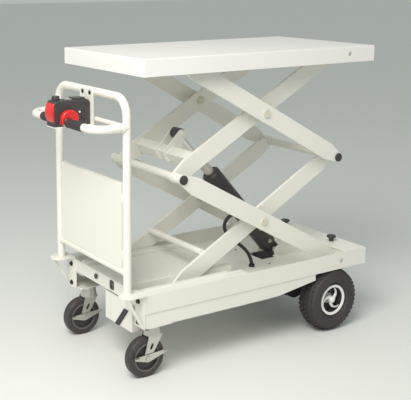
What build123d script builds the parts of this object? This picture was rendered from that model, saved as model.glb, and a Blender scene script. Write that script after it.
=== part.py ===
from build123d import *
import os
import math

# Scissor lift cart, in millimetres. X runs from the handle end to the drive end, Y runs across
# the cart and Z up from the floor. The middle of the table is at X 0 while the cart is drawn.

# Fits between pieces
running_gap = 0.05
seat_gap = 0.3
overrun = 5

# Table
table_length = 1000
table_width = 530
table_height = 1060
table_lip_depth = 56
table_sheet = 3
table_corner = 5
table_edge = 2.5
access_hole_radius = 8.5
rib_depth = 24
rib_width = 40
rib_sheet = 2.5
rib_spacing = 260

# Scissor arms, shared by both pairs
pivot_below_table = 26
pivot_height = 264
pivot_inset = 124
arm_span = 795
arm_depth = 62
arm_thickness = 12
arm_end_radius = 18
arm_taper = 56
outer_arm_face = 223
arm_gap = 33

# Pins, joint tubes and rollers
centre_pin_radius = 10
centre_pin_head_radius = 14.5
centre_pin_head = 5
centre_nut_radius = 15
centre_nut = 7.5
pin_tail = 2
spanner_hole_radius = 1.8
spanner_hole_place = 7
spanner_hole_depth = 2
joint_tube_radius = 14
joint_tube_wall = 4
joint_cap_radius = 16
joint_cap = 4.7
joint_cap_stem = 16
spacer_radius = 17
collar_width = 6
pivot_pin_radius = 8
pivot_head_radius = 12
pivot_head = 4
roller_radius = 20
roller_width = 22
roller_edge = 2
roller_shoulder = 4
roller_shoulder_radius = 12
roller_washer = 2.4

# Lift beam and the cylinder
beam_size = 40
beam_corner = 5
beam_wall = 4
beam_place = 97
clevis_place = 167.6
clevis_rise = 35.2
clevis_plate = 6
clevis_inside = 44
clevis_root_radius = 30
clevis_radius = 17
clevis_stub = 5
cross_tube_radius = 12
cross_tube_place = 153.9
cross_tube_rise = 31.4
foot_inset = 122
barrel_radius = 34.5
barrel_wall = 6
barrel_length = 451
barrel_edge = 7
barrel_base_start = 34
barrel_base = 12
gland_length = 22
rod_radius = 11
rod_sleeve_radius = 18
rod_sleeve = 48
piston_length = 24
piston_place = 205
foot_lug_radius = 24
foot_lug_width = 36
foot_pin_radius = 10
eye_radius = 19.5
eye_width = 42
eye_bore_radius = 13
eye_neck_radius = 15
eye_neck = 27
fitting_place = 134
fitting_radius = 8
fitting_length = 9
vent_place = 58
vent_length = 4.5

# Chassis
deck_length = 992
deck_width = 530
deck_above_pivot = 31
deck_sheet = 3
band_depth = 62
band_overlap = 6
skirt_drop = 111
skirt_flat = 566
skirt_rise = 25
skirt_length = 743
skirt_flange = 24
side_flange = 49
platform_length = 430
inner_flange = 27
slot_lip = 6
lip_length = 366
centre_drop = 9
centre_half_width = 133
pan_opening_length = 116
pan_opening_lead = 82
pan_opening_width = 92
end_plate_depth = 47
side_hole_radius = 9
side_hole_drop = 32
side_hole_inset = 123
cover_length = 104
cover_wall_step = 5

# Lower pivot brackets and the ribs that carry the cylinder's foot
pivot_bracket = 8
pivot_bracket_gap = 3
foot_rib = 4
foot_rib_length = 160
foot_rib_lead = 22
foot_rib_end = 14

# Handle frame, panel and push bow
post_out = 45.5
post_spread = 460
post_radius = 13.5
post_wall = 2
frame_height = 952
frame_bend = 60
cross_bar_height = 848
cross_bar_radius = 7.5
rail_above_deck = 76
rail_radius = 11
panel_top = 663
panel_side_gap = 11
panel_sheet = 2
panel_flange = 14
panel_tab = 30
bow_height = 846
bow_reach = 112
bow_bend = 60
grip_radius = 15.5
grip_near_end = 157
grip_far_end = 125
grip_edge = 2

# Handle brackets
tab_width = 65
tab_thickness = 6
tab_reach = 77
back_plate_thickness = 4
back_plate_width = 56
back_plate_drop = 115
brace_width = 18
brace_thickness = 4
bolt_head_radius = 7
bolt_head = 5
bolt_washer_radius = 9
bolt_washer = 1.5
bracket_bolt_drop = 25
bracket_bolt_pitch = 71

# Control head
head_length = 133
head_width = 56
head_height = 84
head_bottom = 831
head_corner = 14
head_edge = 4
hanger_sheet = 3
hanger_width = 88
hanger_top = 946
hanger_corner = 9
hanger_flange_width = 58
belly_width = 50
belly_height = 62
belly_rise = 3.5
belly_bulge = 9
belly_edge = 5
belly_seat = 5
lever_radius = 31
lever_inner_radius = 9
lever_width = 14
lever_gap = 1.5
lever_rise = 10
lever_set_back = 11
lever_hub_wall = 5
knob_radius = 13
knob_height = 14
knob_inset = 20
knob_edge = 2.5
knob_stem_radius = 6
rocker_length = 26
rocker_width = 12
rocker_depth = 5
rocker_ear = 2.5
rocker_waist = 1.2
rocker_back = 2.5
rocker_inset = 28
rocker_rise = 35
rocker_pin_radius = 1.5
rocker_pin_reach = 2
rocker_pin_depth = 3

# Things on the handle end
button_radius = 9
button_height = 6
button_bezel = 3
button_offset = 50.4
button_drop = 21.4
socket_width = 26
socket_height = 32
socket_offset = 54.5
socket_drop = 23
socket_corner = 6
socket_plate = 2
socket_bore_radius = 7.3
box_length = 600
box_near_side = 183
box_far_side = 8
box_depth = 96.7
box_sheet = 2
battery_count = 2
battery_length = 195
battery_width = 130
battery_height = 88
battery_gap = 20
conduit_width = 24
conduit_thickness = 5
conduit_top_offset = 150
conduit_rise = 70
conduit_bottom_offset = 92

# Drive end
wheel_clearance = 4.7
wheel_inset = 166
tyre_width = 86
tyre_outer_face = 278
tyre_shoulder = 22
tyre_fall = 4
tyre_foot_step = 12
tyre_foot_rise = 26
rim_radius = 57
rim_lip = 9
rim_width = 44
rim_disc = 8
rim_hub_radius = 20
spoke_count = 3
spoke_width = 26
spoke_cut_radius = 18
hub_cap = 5
hub_cap_radius = 11.5
axle_radius = 9
axle_tube_radius = 25
gearbox_radius = 55
gearbox_width = 70
gearbox_edge = 8
hanger_plate = 8
hanger_plate_place = 150
hanger_foot_width = 90
motor_radius = 42
motor_length = 110
motor_rib_count = 8
motor_rib = 4
motor_forward = 78
motor_rise = 30
cover_knob_radius = 17.5
cover_knob_neck_radius = 9
cover_knob_edge = 3
cover_knob_height = 23
cover_knob_offset = 134
cover_knob_inset = 53
cover_knob_cap = 9
cover_stud_radius = 5
pump_length = 86
pump_width = 150
pump_motor_radius = 34
pump_motor_length = 105
pump_edge = 5
pump_drop = 21
pump_headroom = 10
grommet_radius = 12
grommet_lip = 1.5
grommet_height = 9
grommet_sleeve = 3
grommet_place_x = 86
grommet_place_y = -90

# Casters
caster_width = 35
caster_shoulder = 7
caster_chamfer = 3.5
caster_chamfer_fall = 1.8
caster_side = 217
caster_axis_inset = 59
caster_trail = 32
caster_hub_radius = 40
caster_hub_dish = 5
caster_boss_radius = 16
caster_axle_radius = 6
caster_plate_length = 100
caster_plate_width = 78
caster_plate = 4
caster_plate_corner = 6
fork_crown_radius = 31
fork_crown_height = 12
fork_crown_drop = 29
fork_race_radius = 26
fork_sheet = 3
fork_gap = 2
fork_boss_radius = 14
fork_leg_radius = 27
fork_slot_radius = 4.5
fork_slot_length = 22
brake_length = 108
brake_radius = 13
brake_tip_radius = 6
brake_sheet = 3
brake_gap = 1
brake_nut = 4
brake_nut_radius = 9
brake_tread = 14
brake_forward_share = 0.42

# Hydraulic hose
hose_radius = 6.5
hose_route = [(165, -50, 102), (132, -51, 148), (88, -52, 174), (42, -53, 183), (4, -54, 177),
              (-17, -55, 157), (-20, -57, 131), (-4, -61, 104), (26, -66, 79), (58, -74, 53),
              (80, -84, 24), (86, -90, -9)]
hose_bend_share = 0.45

# Places worked out from the sizes above
deck_height = pivot_height + deck_above_pivot
skirt_height = deck_height - skirt_drop
rail_height = deck_height + rail_above_deck
half_table = table_length / 2
half_deck = deck_length / 2
deck_side = deck_width / 2
table_side = table_width / 2
pivot_x = half_table - pivot_inset
table_pivot_z = table_height - pivot_below_table
stage_rise = (table_pivot_z - pivot_height) / 2
arm_angle = math.degrees(math.asin(stage_rise / arm_span))
arm_run = arm_span * math.cos(math.radians(arm_angle))
roller_x = pivot_x - arm_run
joint_z = pivot_height + stage_rise
centre_x = (pivot_x + roller_x) / 2
lower_centre_z = pivot_height + stage_rise / 2
upper_centre_z = joint_z + stage_rise / 2
outer_low = outer_arm_face - arm_thickness
inner_high = outer_low - arm_gap
inner_low = inner_high - arm_thickness
pan_top = pivot_height - roller_radius - seat_gap
pan_under = pan_top - deck_sheet
box_bottom = pan_under - box_depth
conduit_top = box_bottom + conduit_rise
deck_under = deck_height - deck_sheet
band_bottom = deck_height - band_depth
platform_end = platform_length - half_deck
cover_start = half_deck - cover_length
foot_x = pivot_x - foot_inset
post_x = -half_deck - post_out
post_y = post_spread / 2
bow_x = post_x - bow_reach
tube_line = frame_height - post_radius
plate_face = -half_deck - back_plate_thickness
tab_top = deck_height + tab_thickness + pin_tail
belly_face = post_x - post_radius - hanger_sheet - head_length
front_reach = belly_face - belly_bulge
frame_shift = -(front_reach + half_table) / 2
slot_outer = deck_side - side_flange
slot_inner = centre_half_width + inner_flange
wheel_x = half_table - wheel_inset
wheel_radius = (pan_under - wheel_clearance) / 2
caster_radius = (skirt_height - caster_plate - fork_crown_height - fork_crown_drop) / 2
caster_axis_x = -half_deck + caster_axis_inset
caster_x = caster_axis_x - caster_trail


def block(x_low, x_high, y_low, y_high, z_low, z_high):
    """A rectangular block between two corners."""
    middle = Pos((x_low + x_high) / 2, (y_low + y_high) / 2, (z_low + z_high) / 2)
    return middle * Box(x_high - x_low, y_high - y_low, z_high - z_low)


def bar(start, end, radius, bore=0):
    """A round bar between two points, with a hole along it where a bore is given."""
    along = Vector(*end) - Vector(*start)
    section = Circle(radius)
    if bore:
        section -= Circle(bore)
    return extrude(Plane(origin=start, z_dir=along) * section, amount=along.length)


def across(x, z, y_low, y_high, radius, bore=0):
    """A round bar that lies across the cart."""
    return bar((x, y_low, z), (x, y_high, z), radius, bore)


def side_view(sketch, y_low, y_high):
    """A solid whose outline is drawn in X and Z."""
    plane = Plane(origin=(0, y_high, 0), x_dir=(1, 0, 0), z_dir=(0, -1, 0))
    return extrude(plane * sketch, amount=y_high - y_low, dir=plane.z_dir)


def end_view(sketch, x_low, x_high):
    """A solid whose outline is drawn in Y and Z."""
    plane = Plane(origin=(x_low, 0, 0), x_dir=(0, 1, 0), z_dir=(1, 0, 0))
    return extrude(plane * sketch, amount=x_high - x_low, dir=plane.z_dir)


def plan_view(sketch, z_low, z_high):
    """A solid whose outline is drawn in X and Y."""
    return extrude(Pos(0, 0, z_low) * sketch, amount=z_high - z_low, dir=(0, 0, 1))


def strap(start, start_radius, end, end_radius):
    """A flat shape of two discs and the straight edges that touch both."""
    run = Vector(*end) - Vector(*start)
    heading = math.atan2(run.Y, run.X)
    lean = math.acos((start_radius - end_radius) / run.length)
    corners = []
    for place, radius, turn in ((start, start_radius, lean), (end, end_radius, lean),
                                (end, end_radius, -lean), (start, start_radius, -lean)):
        angle = heading + turn
        corners.append((place[0] + radius * math.cos(angle), place[1] + radius * math.sin(angle)))
    corners.reverse()
    return Polygon(*corners) + Pos(*start) * Circle(start_radius) + Pos(*end) * Circle(end_radius)


def other_side(solid):
    """The same piece on the other side of the cart."""
    return mirror(solid, about=Plane.XZ)


def both_sides(solid):
    return [solid, other_side(solid)]


def upright_edges(solid):
    return solid.edges().filter_by(Axis.Z)


def save(name, pieces):
    """Writes one sub-part with its origin under the middle of the whole cart."""
    solids = []
    for piece in pieces:
        solids += piece.solids()
    placed = [solid.moved(Location((frame_shift, 0, 0))) for solid in solids]
    export_step(Compound(children=placed, label=name), f"parts/{name}.step")


# Table and its underframe

def table_top():
    """A sheet steel tray turned upside down, with an access hole for each pivot pin."""
    low = table_height - table_lip_depth
    outside = block(-half_table, half_table, -table_side, table_side, low, table_height)
    outside = fillet(upright_edges(outside), table_corner)
    outside = fillet(outside.faces().sort_by(Axis.Z)[-1].edges(), table_edge)
    inside_x = half_table - table_sheet
    inside_y = table_side - table_sheet
    inside = block(-inside_x, inside_x, -inside_y, inside_y, low - overrun, table_height - table_sheet)
    inside = fillet(upright_edges(inside), table_corner - table_sheet)
    hole = across(pivot_x, table_pivot_z, -table_side - overrun, table_side + overrun, access_hole_radius)
    return [outside - inside - hole]


def channel_rib(x):
    """A top hat rib across the underside, between the two pairs of arms."""
    top = table_height - table_sheet
    half = rib_width / 2
    reach = inner_low - overrun
    outside = block(x - half, x + half, -reach, reach, top - rib_depth, top)
    inner = half - rib_sheet
    return outside - block(x - inner, x + inner, -reach - overrun, reach + overrun,
                           top - rib_depth + rib_sheet, top + overrun)


def table_track():
    """The channel that an upper roller runs in, open towards the outer arm."""
    top = table_height - table_sheet
    bottom = table_pivot_z - roller_radius - seat_gap - deck_sheet
    web = inner_high + seat_gap * 2
    mouth = outer_low - roller_shoulder + seat_gap * 2
    low_x = -half_table + table_sheet + overrun
    outside = block(low_x, centre_x, web, mouth, bottom, top)
    inside_top = table_pivot_z + roller_radius + seat_gap
    return outside - block(low_x - overrun, centre_x + overrun, web + rib_sheet, mouth + overrun,
                           bottom + deck_sheet, inside_top)


def table_pivot():
    """A bracket under the sheet with the pin that an upper inner arm turns on."""
    top = table_height - table_sheet
    low_y = inner_high + pivot_bracket_gap
    high_y = low_y + pivot_bracket
    half = arm_end_radius
    shape = Pos(pivot_x, table_pivot_z) * Circle(half)
    shape += Polygon((pivot_x - half, table_pivot_z), (pivot_x + half, table_pivot_z),
                     (pivot_x + half, top), (pivot_x - half, top))
    bracket = side_view(shape, low_y, high_y)
    bracket -= across(pivot_x, table_pivot_z, low_y, high_y, pivot_pin_radius + running_gap)
    tail_high = inner_low - seat_gap
    tail_low = tail_high - pivot_head
    head_low = high_y + seat_gap
    shaft = across(pivot_x, table_pivot_z, tail_low, head_low, pivot_pin_radius)
    head = across(pivot_x, table_pivot_z, head_low, head_low + pivot_head, pivot_head_radius)
    tail = across(pivot_x, table_pivot_z, tail_low, tail_high, pivot_head_radius)
    return [bracket, shaft + head + tail]


def table_underframe():
    pieces = [channel_rib(x) for x in (-rib_spacing, 0, rib_spacing)]
    pieces += both_sides(table_track())
    for piece in table_pivot():
        pieces += both_sides(piece)
    return pieces


# Scissor arms

def arm_frame(x, z, angle, y):
    """The plane of an arm, with its first axis along the arm and its second across it."""
    turn = math.radians(angle)
    return Plane(origin=(x, y, z), x_dir=(math.cos(turn), 0, math.sin(turn)), z_dir=(0, -1, 0))


def arm_point(x, z, angle, along, rise):
    """A point given along an arm and above its middle line."""
    turn = math.radians(angle)
    return (x + along * math.cos(turn) - rise * math.sin(turn),
            z + along * math.sin(turn) + rise * math.cos(turn))


def arm(x, z, angle, y_low, y_high, first_bore, middle_bore, last_bore):
    """A flat bar whose ends narrow to a rounded nose at each pin."""
    half = arm_depth / 2
    nose = arm_end_radius
    far = arm_span - arm_taper
    shape = Polygon((0, -nose), (arm_taper, -half), (far, -half), (arm_span, -nose),
                    (arm_span, nose), (far, half), (arm_taper, half), (0, nose))
    for place, bore in ((0, first_bore), (arm_span, last_bore)):
        shape += Pos(place, 0) * Circle(nose)
    for place, bore in ((0, first_bore), (arm_span / 2, middle_bore), (arm_span, last_bore)):
        if bore:
            shape -= Pos(place, 0) * Circle(bore + running_gap)
    return extrude(arm_frame(x, z, angle, y_high) * shape, amount=y_high - y_low, dir=(0, -1, 0))


def roller_axle(x, z, face, away):
    """A shoulder, a journal and an end washer that stand out of an arm's face."""
    start = face
    pieces = []
    end = start + away * roller_shoulder
    pieces.append((start, end, roller_shoulder_radius))
    journal_end = end + away * (roller_width + seat_gap * 2)
    pieces.append((end, journal_end, pivot_pin_radius))
    pieces.append((journal_end, journal_end + away * roller_washer, roller_shoulder_radius))
    solid = None
    for first, last, radius in pieces:
        piece = across(x, z, min(first, last), max(first, last), radius)
        solid = piece if solid is None else solid + piece
    return solid


def roller(x, z, face, away):
    """A steel roller that runs on an arm's axle."""
    near = face + away * (roller_shoulder + seat_gap)
    far = near + away * roller_width
    solid = across(x, z, min(near, far), max(near, far), roller_radius)
    solid = fillet(solid.edges().filter_by(GeomType.CIRCLE), roller_edge)
    return solid - across(x, z, min(near, far), max(near, far), pivot_pin_radius + running_gap)


def lower_outer_arms():
    """The pair that turns on the chassis pins and slopes down to the drive end."""
    one = arm(roller_x, joint_z, -arm_angle, outer_low, outer_arm_face,
              joint_tube_radius, centre_pin_radius, pivot_pin_radius)
    return both_sides(one)


def lower_inner_arms():
    """The pair that carries the lower rollers and slopes up to the drive end."""
    one = arm(roller_x, pivot_height, arm_angle, inner_low, inner_high,
              0, centre_pin_radius, joint_tube_radius)
    one += roller_axle(roller_x, pivot_height, inner_high, 1)
    return both_sides(one)


def upper_inner_arms():
    """The pair that turns on the left joint tube and lifts the table's fixed pivots."""
    one = arm(roller_x, joint_z, arm_angle, inner_low, inner_high,
              joint_tube_radius, centre_pin_radius, pivot_pin_radius)
    return both_sides(one)


def upper_outer_arms():
    """The pair that turns on the right joint tube and carries the upper rollers."""
    one = arm(roller_x, table_pivot_z, -arm_angle, outer_low, outer_arm_face,
              0, centre_pin_radius, joint_tube_radius)
    one += roller_axle(roller_x, table_pivot_z, outer_low, -1)
    return both_sides(one)


def rollers(z, face, away):
    return both_sides(roller(roller_x, z, face, away))


def joint_tube(x, z, collars):
    """A tube right across the cart that two arms share at each side, with welded collars."""
    bore = joint_tube_radius - joint_tube_wall
    pieces = [across(x, z, -outer_arm_face, outer_arm_face, joint_tube_radius, bore)]
    for y_low, y_high in collars:
        ring = across(x, z, y_low, y_high, spacer_radius, joint_tube_radius)
        pieces += both_sides(ring)
    whole = pieces[0]
    for piece in pieces[1:]:
        whole += piece
    return whole


def left_joint_tube():
    spacer = (inner_high + seat_gap, outer_low)
    keeper = (inner_low - seat_gap - collar_width, inner_low - seat_gap)
    return [joint_tube(roller_x, joint_z, (spacer, keeper))]


def lower_cross_tubes():
    """The right joint tube and the stiffening bar between the lower inner arms."""
    spacer = (inner_high, outer_low - seat_gap)
    x, z = arm_point(roller_x, pivot_height, arm_angle, cross_tube_place, cross_tube_rise)
    stiffener = across(x, z, -inner_low, inner_low, cross_tube_radius)
    return [joint_tube(pivot_x, joint_z, (spacer,)), stiffener]


def joint_caps(x):
    """Plastic plugs in the ends of a joint tube, with a rim that keeps the arm on."""
    low = outer_arm_face + seat_gap
    disc = across(x, joint_z, low, low + joint_cap, joint_cap_radius)
    disc = fillet(disc.faces().sort_by(Axis.Y)[-1].edges(), joint_cap / 2)
    stem = across(x, joint_z, low - joint_cap_stem, low, joint_tube_radius - joint_tube_wall - running_gap)
    return both_sides(disc + stem)


def centre_pin(z):
    """The pin in the middle of a pair of arms, with its head, its spacer and its nut."""
    head_low = outer_arm_face + seat_gap
    pin = across(centre_x, z, inner_low - seat_gap - centre_nut - pin_tail, head_low, centre_pin_radius)
    head = across(centre_x, z, head_low, head_low + centre_pin_head, centre_pin_head_radius)
    head = fillet(head.faces().sort_by(Axis.Y)[-1].edges(), seat_gap * 2)
    top = head_low + centre_pin_head
    for place in (-spanner_hole_place, spanner_hole_place):
        head -= across(centre_x + place, z, top - spanner_hole_depth, top + overrun, spanner_hole_radius)
    spacer = across(centre_x, z, inner_high + seat_gap, outer_low - seat_gap, spacer_radius,
                    centre_pin_radius + running_gap)
    hexagon = RegularPolygon(centre_nut_radius, 6) - Circle(centre_pin_radius + running_gap)
    nut_low = inner_low - seat_gap - centre_nut
    nut = side_view(Pos(centre_x, z) * hexagon, nut_low, nut_low + centre_nut)
    return [pin + head, spacer, nut]


def arm_pins(z):
    pieces = []
    for piece in centre_pin(z):
        pieces += both_sides(piece)
    return pieces


# Lift beam and the cylinder

beam_x, beam_z = arm_point(roller_x, joint_z, arm_angle, beam_place, 0)
rod_pin_x, rod_pin_z = arm_point(roller_x, joint_z, arm_angle, clevis_place, clevis_rise)
cylinder_length = math.hypot(rod_pin_x - foot_x, rod_pin_z - pivot_height)
cylinder_axis = Vector(rod_pin_x - foot_x, 0, rod_pin_z - pivot_height).normalized()
cylinder_plane = Plane(origin=(foot_x, 0, pivot_height), x_dir=(0, 1, 0), z_dir=cylinder_axis)


def lift_beam():
    """The square beam between the upper inner arms, with the clevis that the rod pushes on."""
    seat = Pos(beam_x, beam_z) * Rot(0, 0, arm_angle)
    outside = seat * RectangleRounded(beam_size, beam_size, beam_corner)
    inner = beam_size - beam_wall * 2
    inside = seat * RectangleRounded(inner, inner, beam_corner - beam_wall)
    beam = side_view(outside - inside, -inner_low, inner_low)
    half = clevis_inside / 2
    shape = strap((beam_x, beam_z), clevis_root_radius, (rod_pin_x, rod_pin_z), clevis_radius) - outside
    plate = side_view(shape, half, half + clevis_plate)
    boss_face = half + clevis_plate
    stub = across(rod_pin_x, rod_pin_z, boss_face, boss_face + clevis_stub, foot_pin_radius)
    whole = beam
    for piece in both_sides(plate + stub):
        whole += piece
    return [whole]


def turned(points):
    """A solid of revolution about the cylinder, from radius and distance from the foot pin."""
    outline = Plane.XZ * Polygon(*points)
    return cylinder_plane.location * revolve(outline, axis=Axis.Z)


def cylinder_barrel():
    """The barrel with its gland at the top and the lug that the foot pin goes through."""
    bore = barrel_radius - barrel_wall
    base = barrel_base_start
    top = barrel_length
    throat = rod_radius + running_gap
    shell = turned([(0, base), (barrel_radius, base), (barrel_radius, top - barrel_edge),
                    (barrel_radius - barrel_edge, top), (throat, top), (throat, top - gland_length),
                    (bore, top - gland_length), (bore, base + barrel_base), (0, base + barrel_base)])
    half = foot_lug_width / 2
    lug = cylinder_plane.location * Box(foot_lug_width, foot_lug_radius * 2, base + overrun,
                                        align=(Align.CENTER, Align.CENTER, Align.MIN))
    lug += across(foot_x, pivot_height, -half, half, foot_lug_radius)
    lug -= across(foot_x, pivot_height, -half, half, foot_pin_radius + running_gap)
    return [shell + lug]


def barrel_point(along, out):
    """A point on the near side of the barrel."""
    place = Vector(foot_x, 0, pivot_height) + cylinder_axis * along
    return (place.X, -out, place.Z)


def barrel_fittings():
    """The hose's adapter and a bleed plug on the barrel, and the sleeve that guides the rod."""
    throat = rod_radius + running_gap
    low = barrel_length
    high = low + rod_sleeve
    pieces = [turned([(throat, low), (rod_sleeve_radius, low), (rod_sleeve_radius, high), (throat, high)])]
    foot = barrel_point(0, 0)
    barrel = bar(foot, barrel_point(barrel_length, 0), barrel_radius)
    for place, length in ((fitting_place, fitting_length), (vent_place, vent_length)):
        start = barrel_point(place, barrel_radius + length)
        plane = Plane(origin=start, x_dir=cylinder_axis, z_dir=(0, 1, 0))
        hexagon = extrude(plane * RegularPolygon(fitting_radius, 6), amount=length + barrel_wall / 2)
        pieces.append(hexagon - barrel)
    return pieces


def piston_rod():
    """The chromed rod with its piston inside the barrel."""
    end = cylinder_length - eye_neck
    start = piston_place
    rod = turned([(0, start), (barrel_radius - barrel_wall - running_gap, start),
                  (barrel_radius - barrel_wall - running_gap, start + piston_length),
                  (rod_radius, start + piston_length), (rod_radius, end), (0, end)])
    return [rod]


def rod_eye():
    """The black eye screwed on the rod, which sits between the clevis plates."""
    half = eye_width / 2
    eye = across(rod_pin_x, rod_pin_z, -half, half, eye_radius)
    start = cylinder_length - eye_neck
    neck = turned([(0, start), (eye_neck_radius, start), (eye_neck_radius, cylinder_length - eye_bore_radius),
                   (0, cylinder_length - eye_bore_radius)])
    return [eye + neck - across(rod_pin_x, rod_pin_z, -half, half, eye_bore_radius)]


# Chassis

def side_rail():
    """A pressed side: a deep band with a flange on top and an inset skirt below it."""
    band_low = band_bottom
    inside = deck_side - deck_sheet
    rail = block(-half_deck, half_deck, inside, deck_side, band_low, deck_height)
    rail += block(-half_deck, platform_end, slot_outer, deck_side, deck_under, deck_height)
    start = -half_deck
    flat_end = start + skirt_flat
    end = start + skirt_length
    top = band_low + band_overlap
    shape = Polygon((start, skirt_height), (flat_end, skirt_height), (end, skirt_height + skirt_rise),
                    (end, top), (start, top))
    rail += side_view(shape, inside - deck_sheet, inside)
    rail += block(start, flat_end, inside - deck_sheet - skirt_flange, inside - deck_sheet,
                  skirt_height, skirt_height + deck_sheet)
    hole_x = half_deck - side_hole_inset
    hole_z = deck_height - side_hole_drop
    rail -= across(hole_x, hole_z, inside - overrun, deck_side + overrun, side_hole_radius)
    return rail


def side_rails():
    return both_sides(side_rail())


def end_plates():
    """The plate across the handle end with its two end flanges, and the plate across the drive end."""
    inside = deck_side - deck_sheet
    low = deck_height - end_plate_depth
    start = -half_deck
    handle_end = block(start, start + deck_sheet, -inside, inside, low, deck_under)
    flange = block(start, start + deck_sheet, deck_side - tab_width + overrun, inside - deck_sheet,
                   skirt_height + deck_sheet, low)
    handle_end += flange
    handle_end += other_side(flange)
    button = Vector(start, button_offset, deck_height - button_drop)
    handle_end -= bar((start - overrun, button.Y, button.Z), (start + overrun, button.Y, button.Z),
                      button_radius - button_bezel + running_gap)
    socket_y = -socket_offset
    socket_z = deck_height - socket_drop
    half_w = socket_width / 2 - socket_plate
    half_h = socket_height / 2 - socket_plate
    handle_end -= block(start - overrun, start + overrun, socket_y - half_w, socket_y + half_w,
                        socket_z - half_h, socket_z + half_h)
    drive_end = block(half_deck - deck_sheet, half_deck, -inside, inside, band_bottom, deck_under - seat_gap)
    return [handle_end, drive_end]


def platform_half():
    """One side of the pressed platform: the roller slot and its lips, a flange and half the floor."""
    start = -half_deck + deck_sheet
    slot_floor = pan_under
    lip_top = deck_height + slot_lip
    lip_end = start + lip_length
    end = platform_end
    piece = block(start, end, slot_inner, slot_outer, slot_floor, pan_top)
    for low, high in ((slot_inner, slot_inner + deck_sheet), (slot_outer - deck_sheet, slot_outer)):
        piece += block(start, end, low, high, slot_floor, deck_height)
        piece += block(start, lip_end, low, high, deck_height, lip_top)
    piece += block(start, end, centre_half_width, slot_inner, deck_under, deck_height)
    floor_top = deck_height - centre_drop
    piece += block(start, end, centre_half_width - deck_sheet, centre_half_width,
                   floor_top - deck_sheet, deck_height)
    piece += block(start, end, 0, centre_half_width - deck_sheet, floor_top - deck_sheet, floor_top)
    piece += block(end - deck_sheet, end, 0, slot_inner, slot_floor, floor_top)
    piece += block(end - deck_sheet, end, slot_outer, deck_side - deck_sheet, pan_top, deck_under)
    return piece


def handle_deck():
    half = platform_half()
    return [half + other_side(half)]


def drive_pan():
    """The recessed floor of the drive half, with an opening under the cylinder's foot."""
    inside = deck_side - deck_sheet
    low = pan_under
    wall_x = cover_start + cover_wall_step
    pan = block(platform_end, wall_x, -inside, inside, low, pan_top)
    pan += block(wall_x, wall_x + deck_sheet, -inside, inside, low, deck_under - seat_gap)
    open_x = foot_x - pan_opening_lead
    half = pan_opening_width / 2
    pan -= block(open_x, open_x + pan_opening_length, -half, half, low - overrun, pan_top + overrun)
    pan -= bar((grommet_place_x, grommet_place_y, low - overrun),
               (grommet_place_x, grommet_place_y, pan_top + overrun), hose_radius + grommet_sleeve)
    return [pan]


def lower_pivot():
    """A bracket that stands on the pan with the pin that a lower outer arm turns on."""
    low_y = outer_arm_face + pivot_bracket_gap
    high_y = low_y + pivot_bracket
    half = arm_end_radius
    shape = Pos(pivot_x, pivot_height) * Circle(half)
    shape += Polygon((pivot_x - half, pan_top), (pivot_x + half, pan_top),
                     (pivot_x + half, pivot_height), (pivot_x - half, pivot_height))
    bore = pivot_pin_radius + running_gap
    bracket = side_view(shape, low_y, high_y)
    bracket -= across(pivot_x, pivot_height, low_y, high_y, bore)
    tail_high = outer_low - seat_gap
    tail_low = tail_high - pivot_head
    head_low = high_y + seat_gap
    shaft = across(pivot_x, pivot_height, tail_low, head_low, pivot_pin_radius)
    shaft += across(pivot_x, pivot_height, head_low, head_low + pivot_head, pivot_head_radius)
    shaft += across(pivot_x, pivot_height, tail_low, tail_high, pivot_head_radius)
    return [bracket, shaft]


def foot_rib_plate():
    """A rib along the pan with a round lug for the cylinder's foot pin."""
    inner = pan_opening_width / 2
    start = foot_x - foot_rib_lead
    shape = Pos(foot_x, pivot_height) * Circle(foot_lug_radius)
    shape += Polygon((start, pan_top), (start + foot_rib_length, pan_top),
                     (start + foot_rib_length, pan_top + foot_rib_end),
                     (foot_x, pivot_height + foot_lug_radius), (foot_x - foot_lug_radius, pivot_height))
    shape -= Pos(foot_x, pan_top - foot_lug_radius) * Rectangle(foot_lug_radius * 4, foot_lug_radius * 2)
    plate = side_view(shape, inner, inner + foot_rib)
    return plate - across(foot_x, pivot_height, inner, inner + foot_rib, foot_pin_radius + running_gap)


def pivot_brackets():
    pieces = []
    for piece in lower_pivot():
        pieces += both_sides(piece)
    pieces += both_sides(foot_rib_plate())
    half = pan_opening_width / 2 + foot_rib + foot_rib
    pieces.append(across(foot_x, pivot_height, -half, half, foot_pin_radius))
    return pieces


def drive_end_cover():
    """The lift-off plate over the pump, with a stud hole for each knob."""
    inside = deck_side - deck_sheet - seat_gap
    plate = block(cover_start, half_deck - seat_gap, -inside, inside, deck_under, deck_height)
    plate = fillet(upright_edges(plate), deck_sheet)
    for side in (-1, 1):
        y = side * cover_knob_offset
        x = half_deck - cover_knob_inset
        plate -= bar((x, y, deck_under), (x, y, deck_height), cover_stud_radius + seat_gap)
    return [plate]


def cover_knob(side):
    """A mushroom knob on a threaded stud."""
    x = half_deck - cover_knob_inset
    y = side * cover_knob_offset
    low = deck_height + seat_gap
    top = low + cover_knob_height
    cap = bar((x, y, top - cover_knob_cap), (x, y, top), cover_knob_radius)
    cap = fillet(cap.edges().filter_by(GeomType.CIRCLE), cover_knob_edge)
    neck = bar((x, y, low), (x, y, top - cover_knob_cap), cover_knob_neck_radius)
    stud = bar((x, y, deck_under - overrun), (x, y, low), cover_stud_radius)
    return [cap + neck + stud]


# Handle frame, panel and push bow

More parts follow.
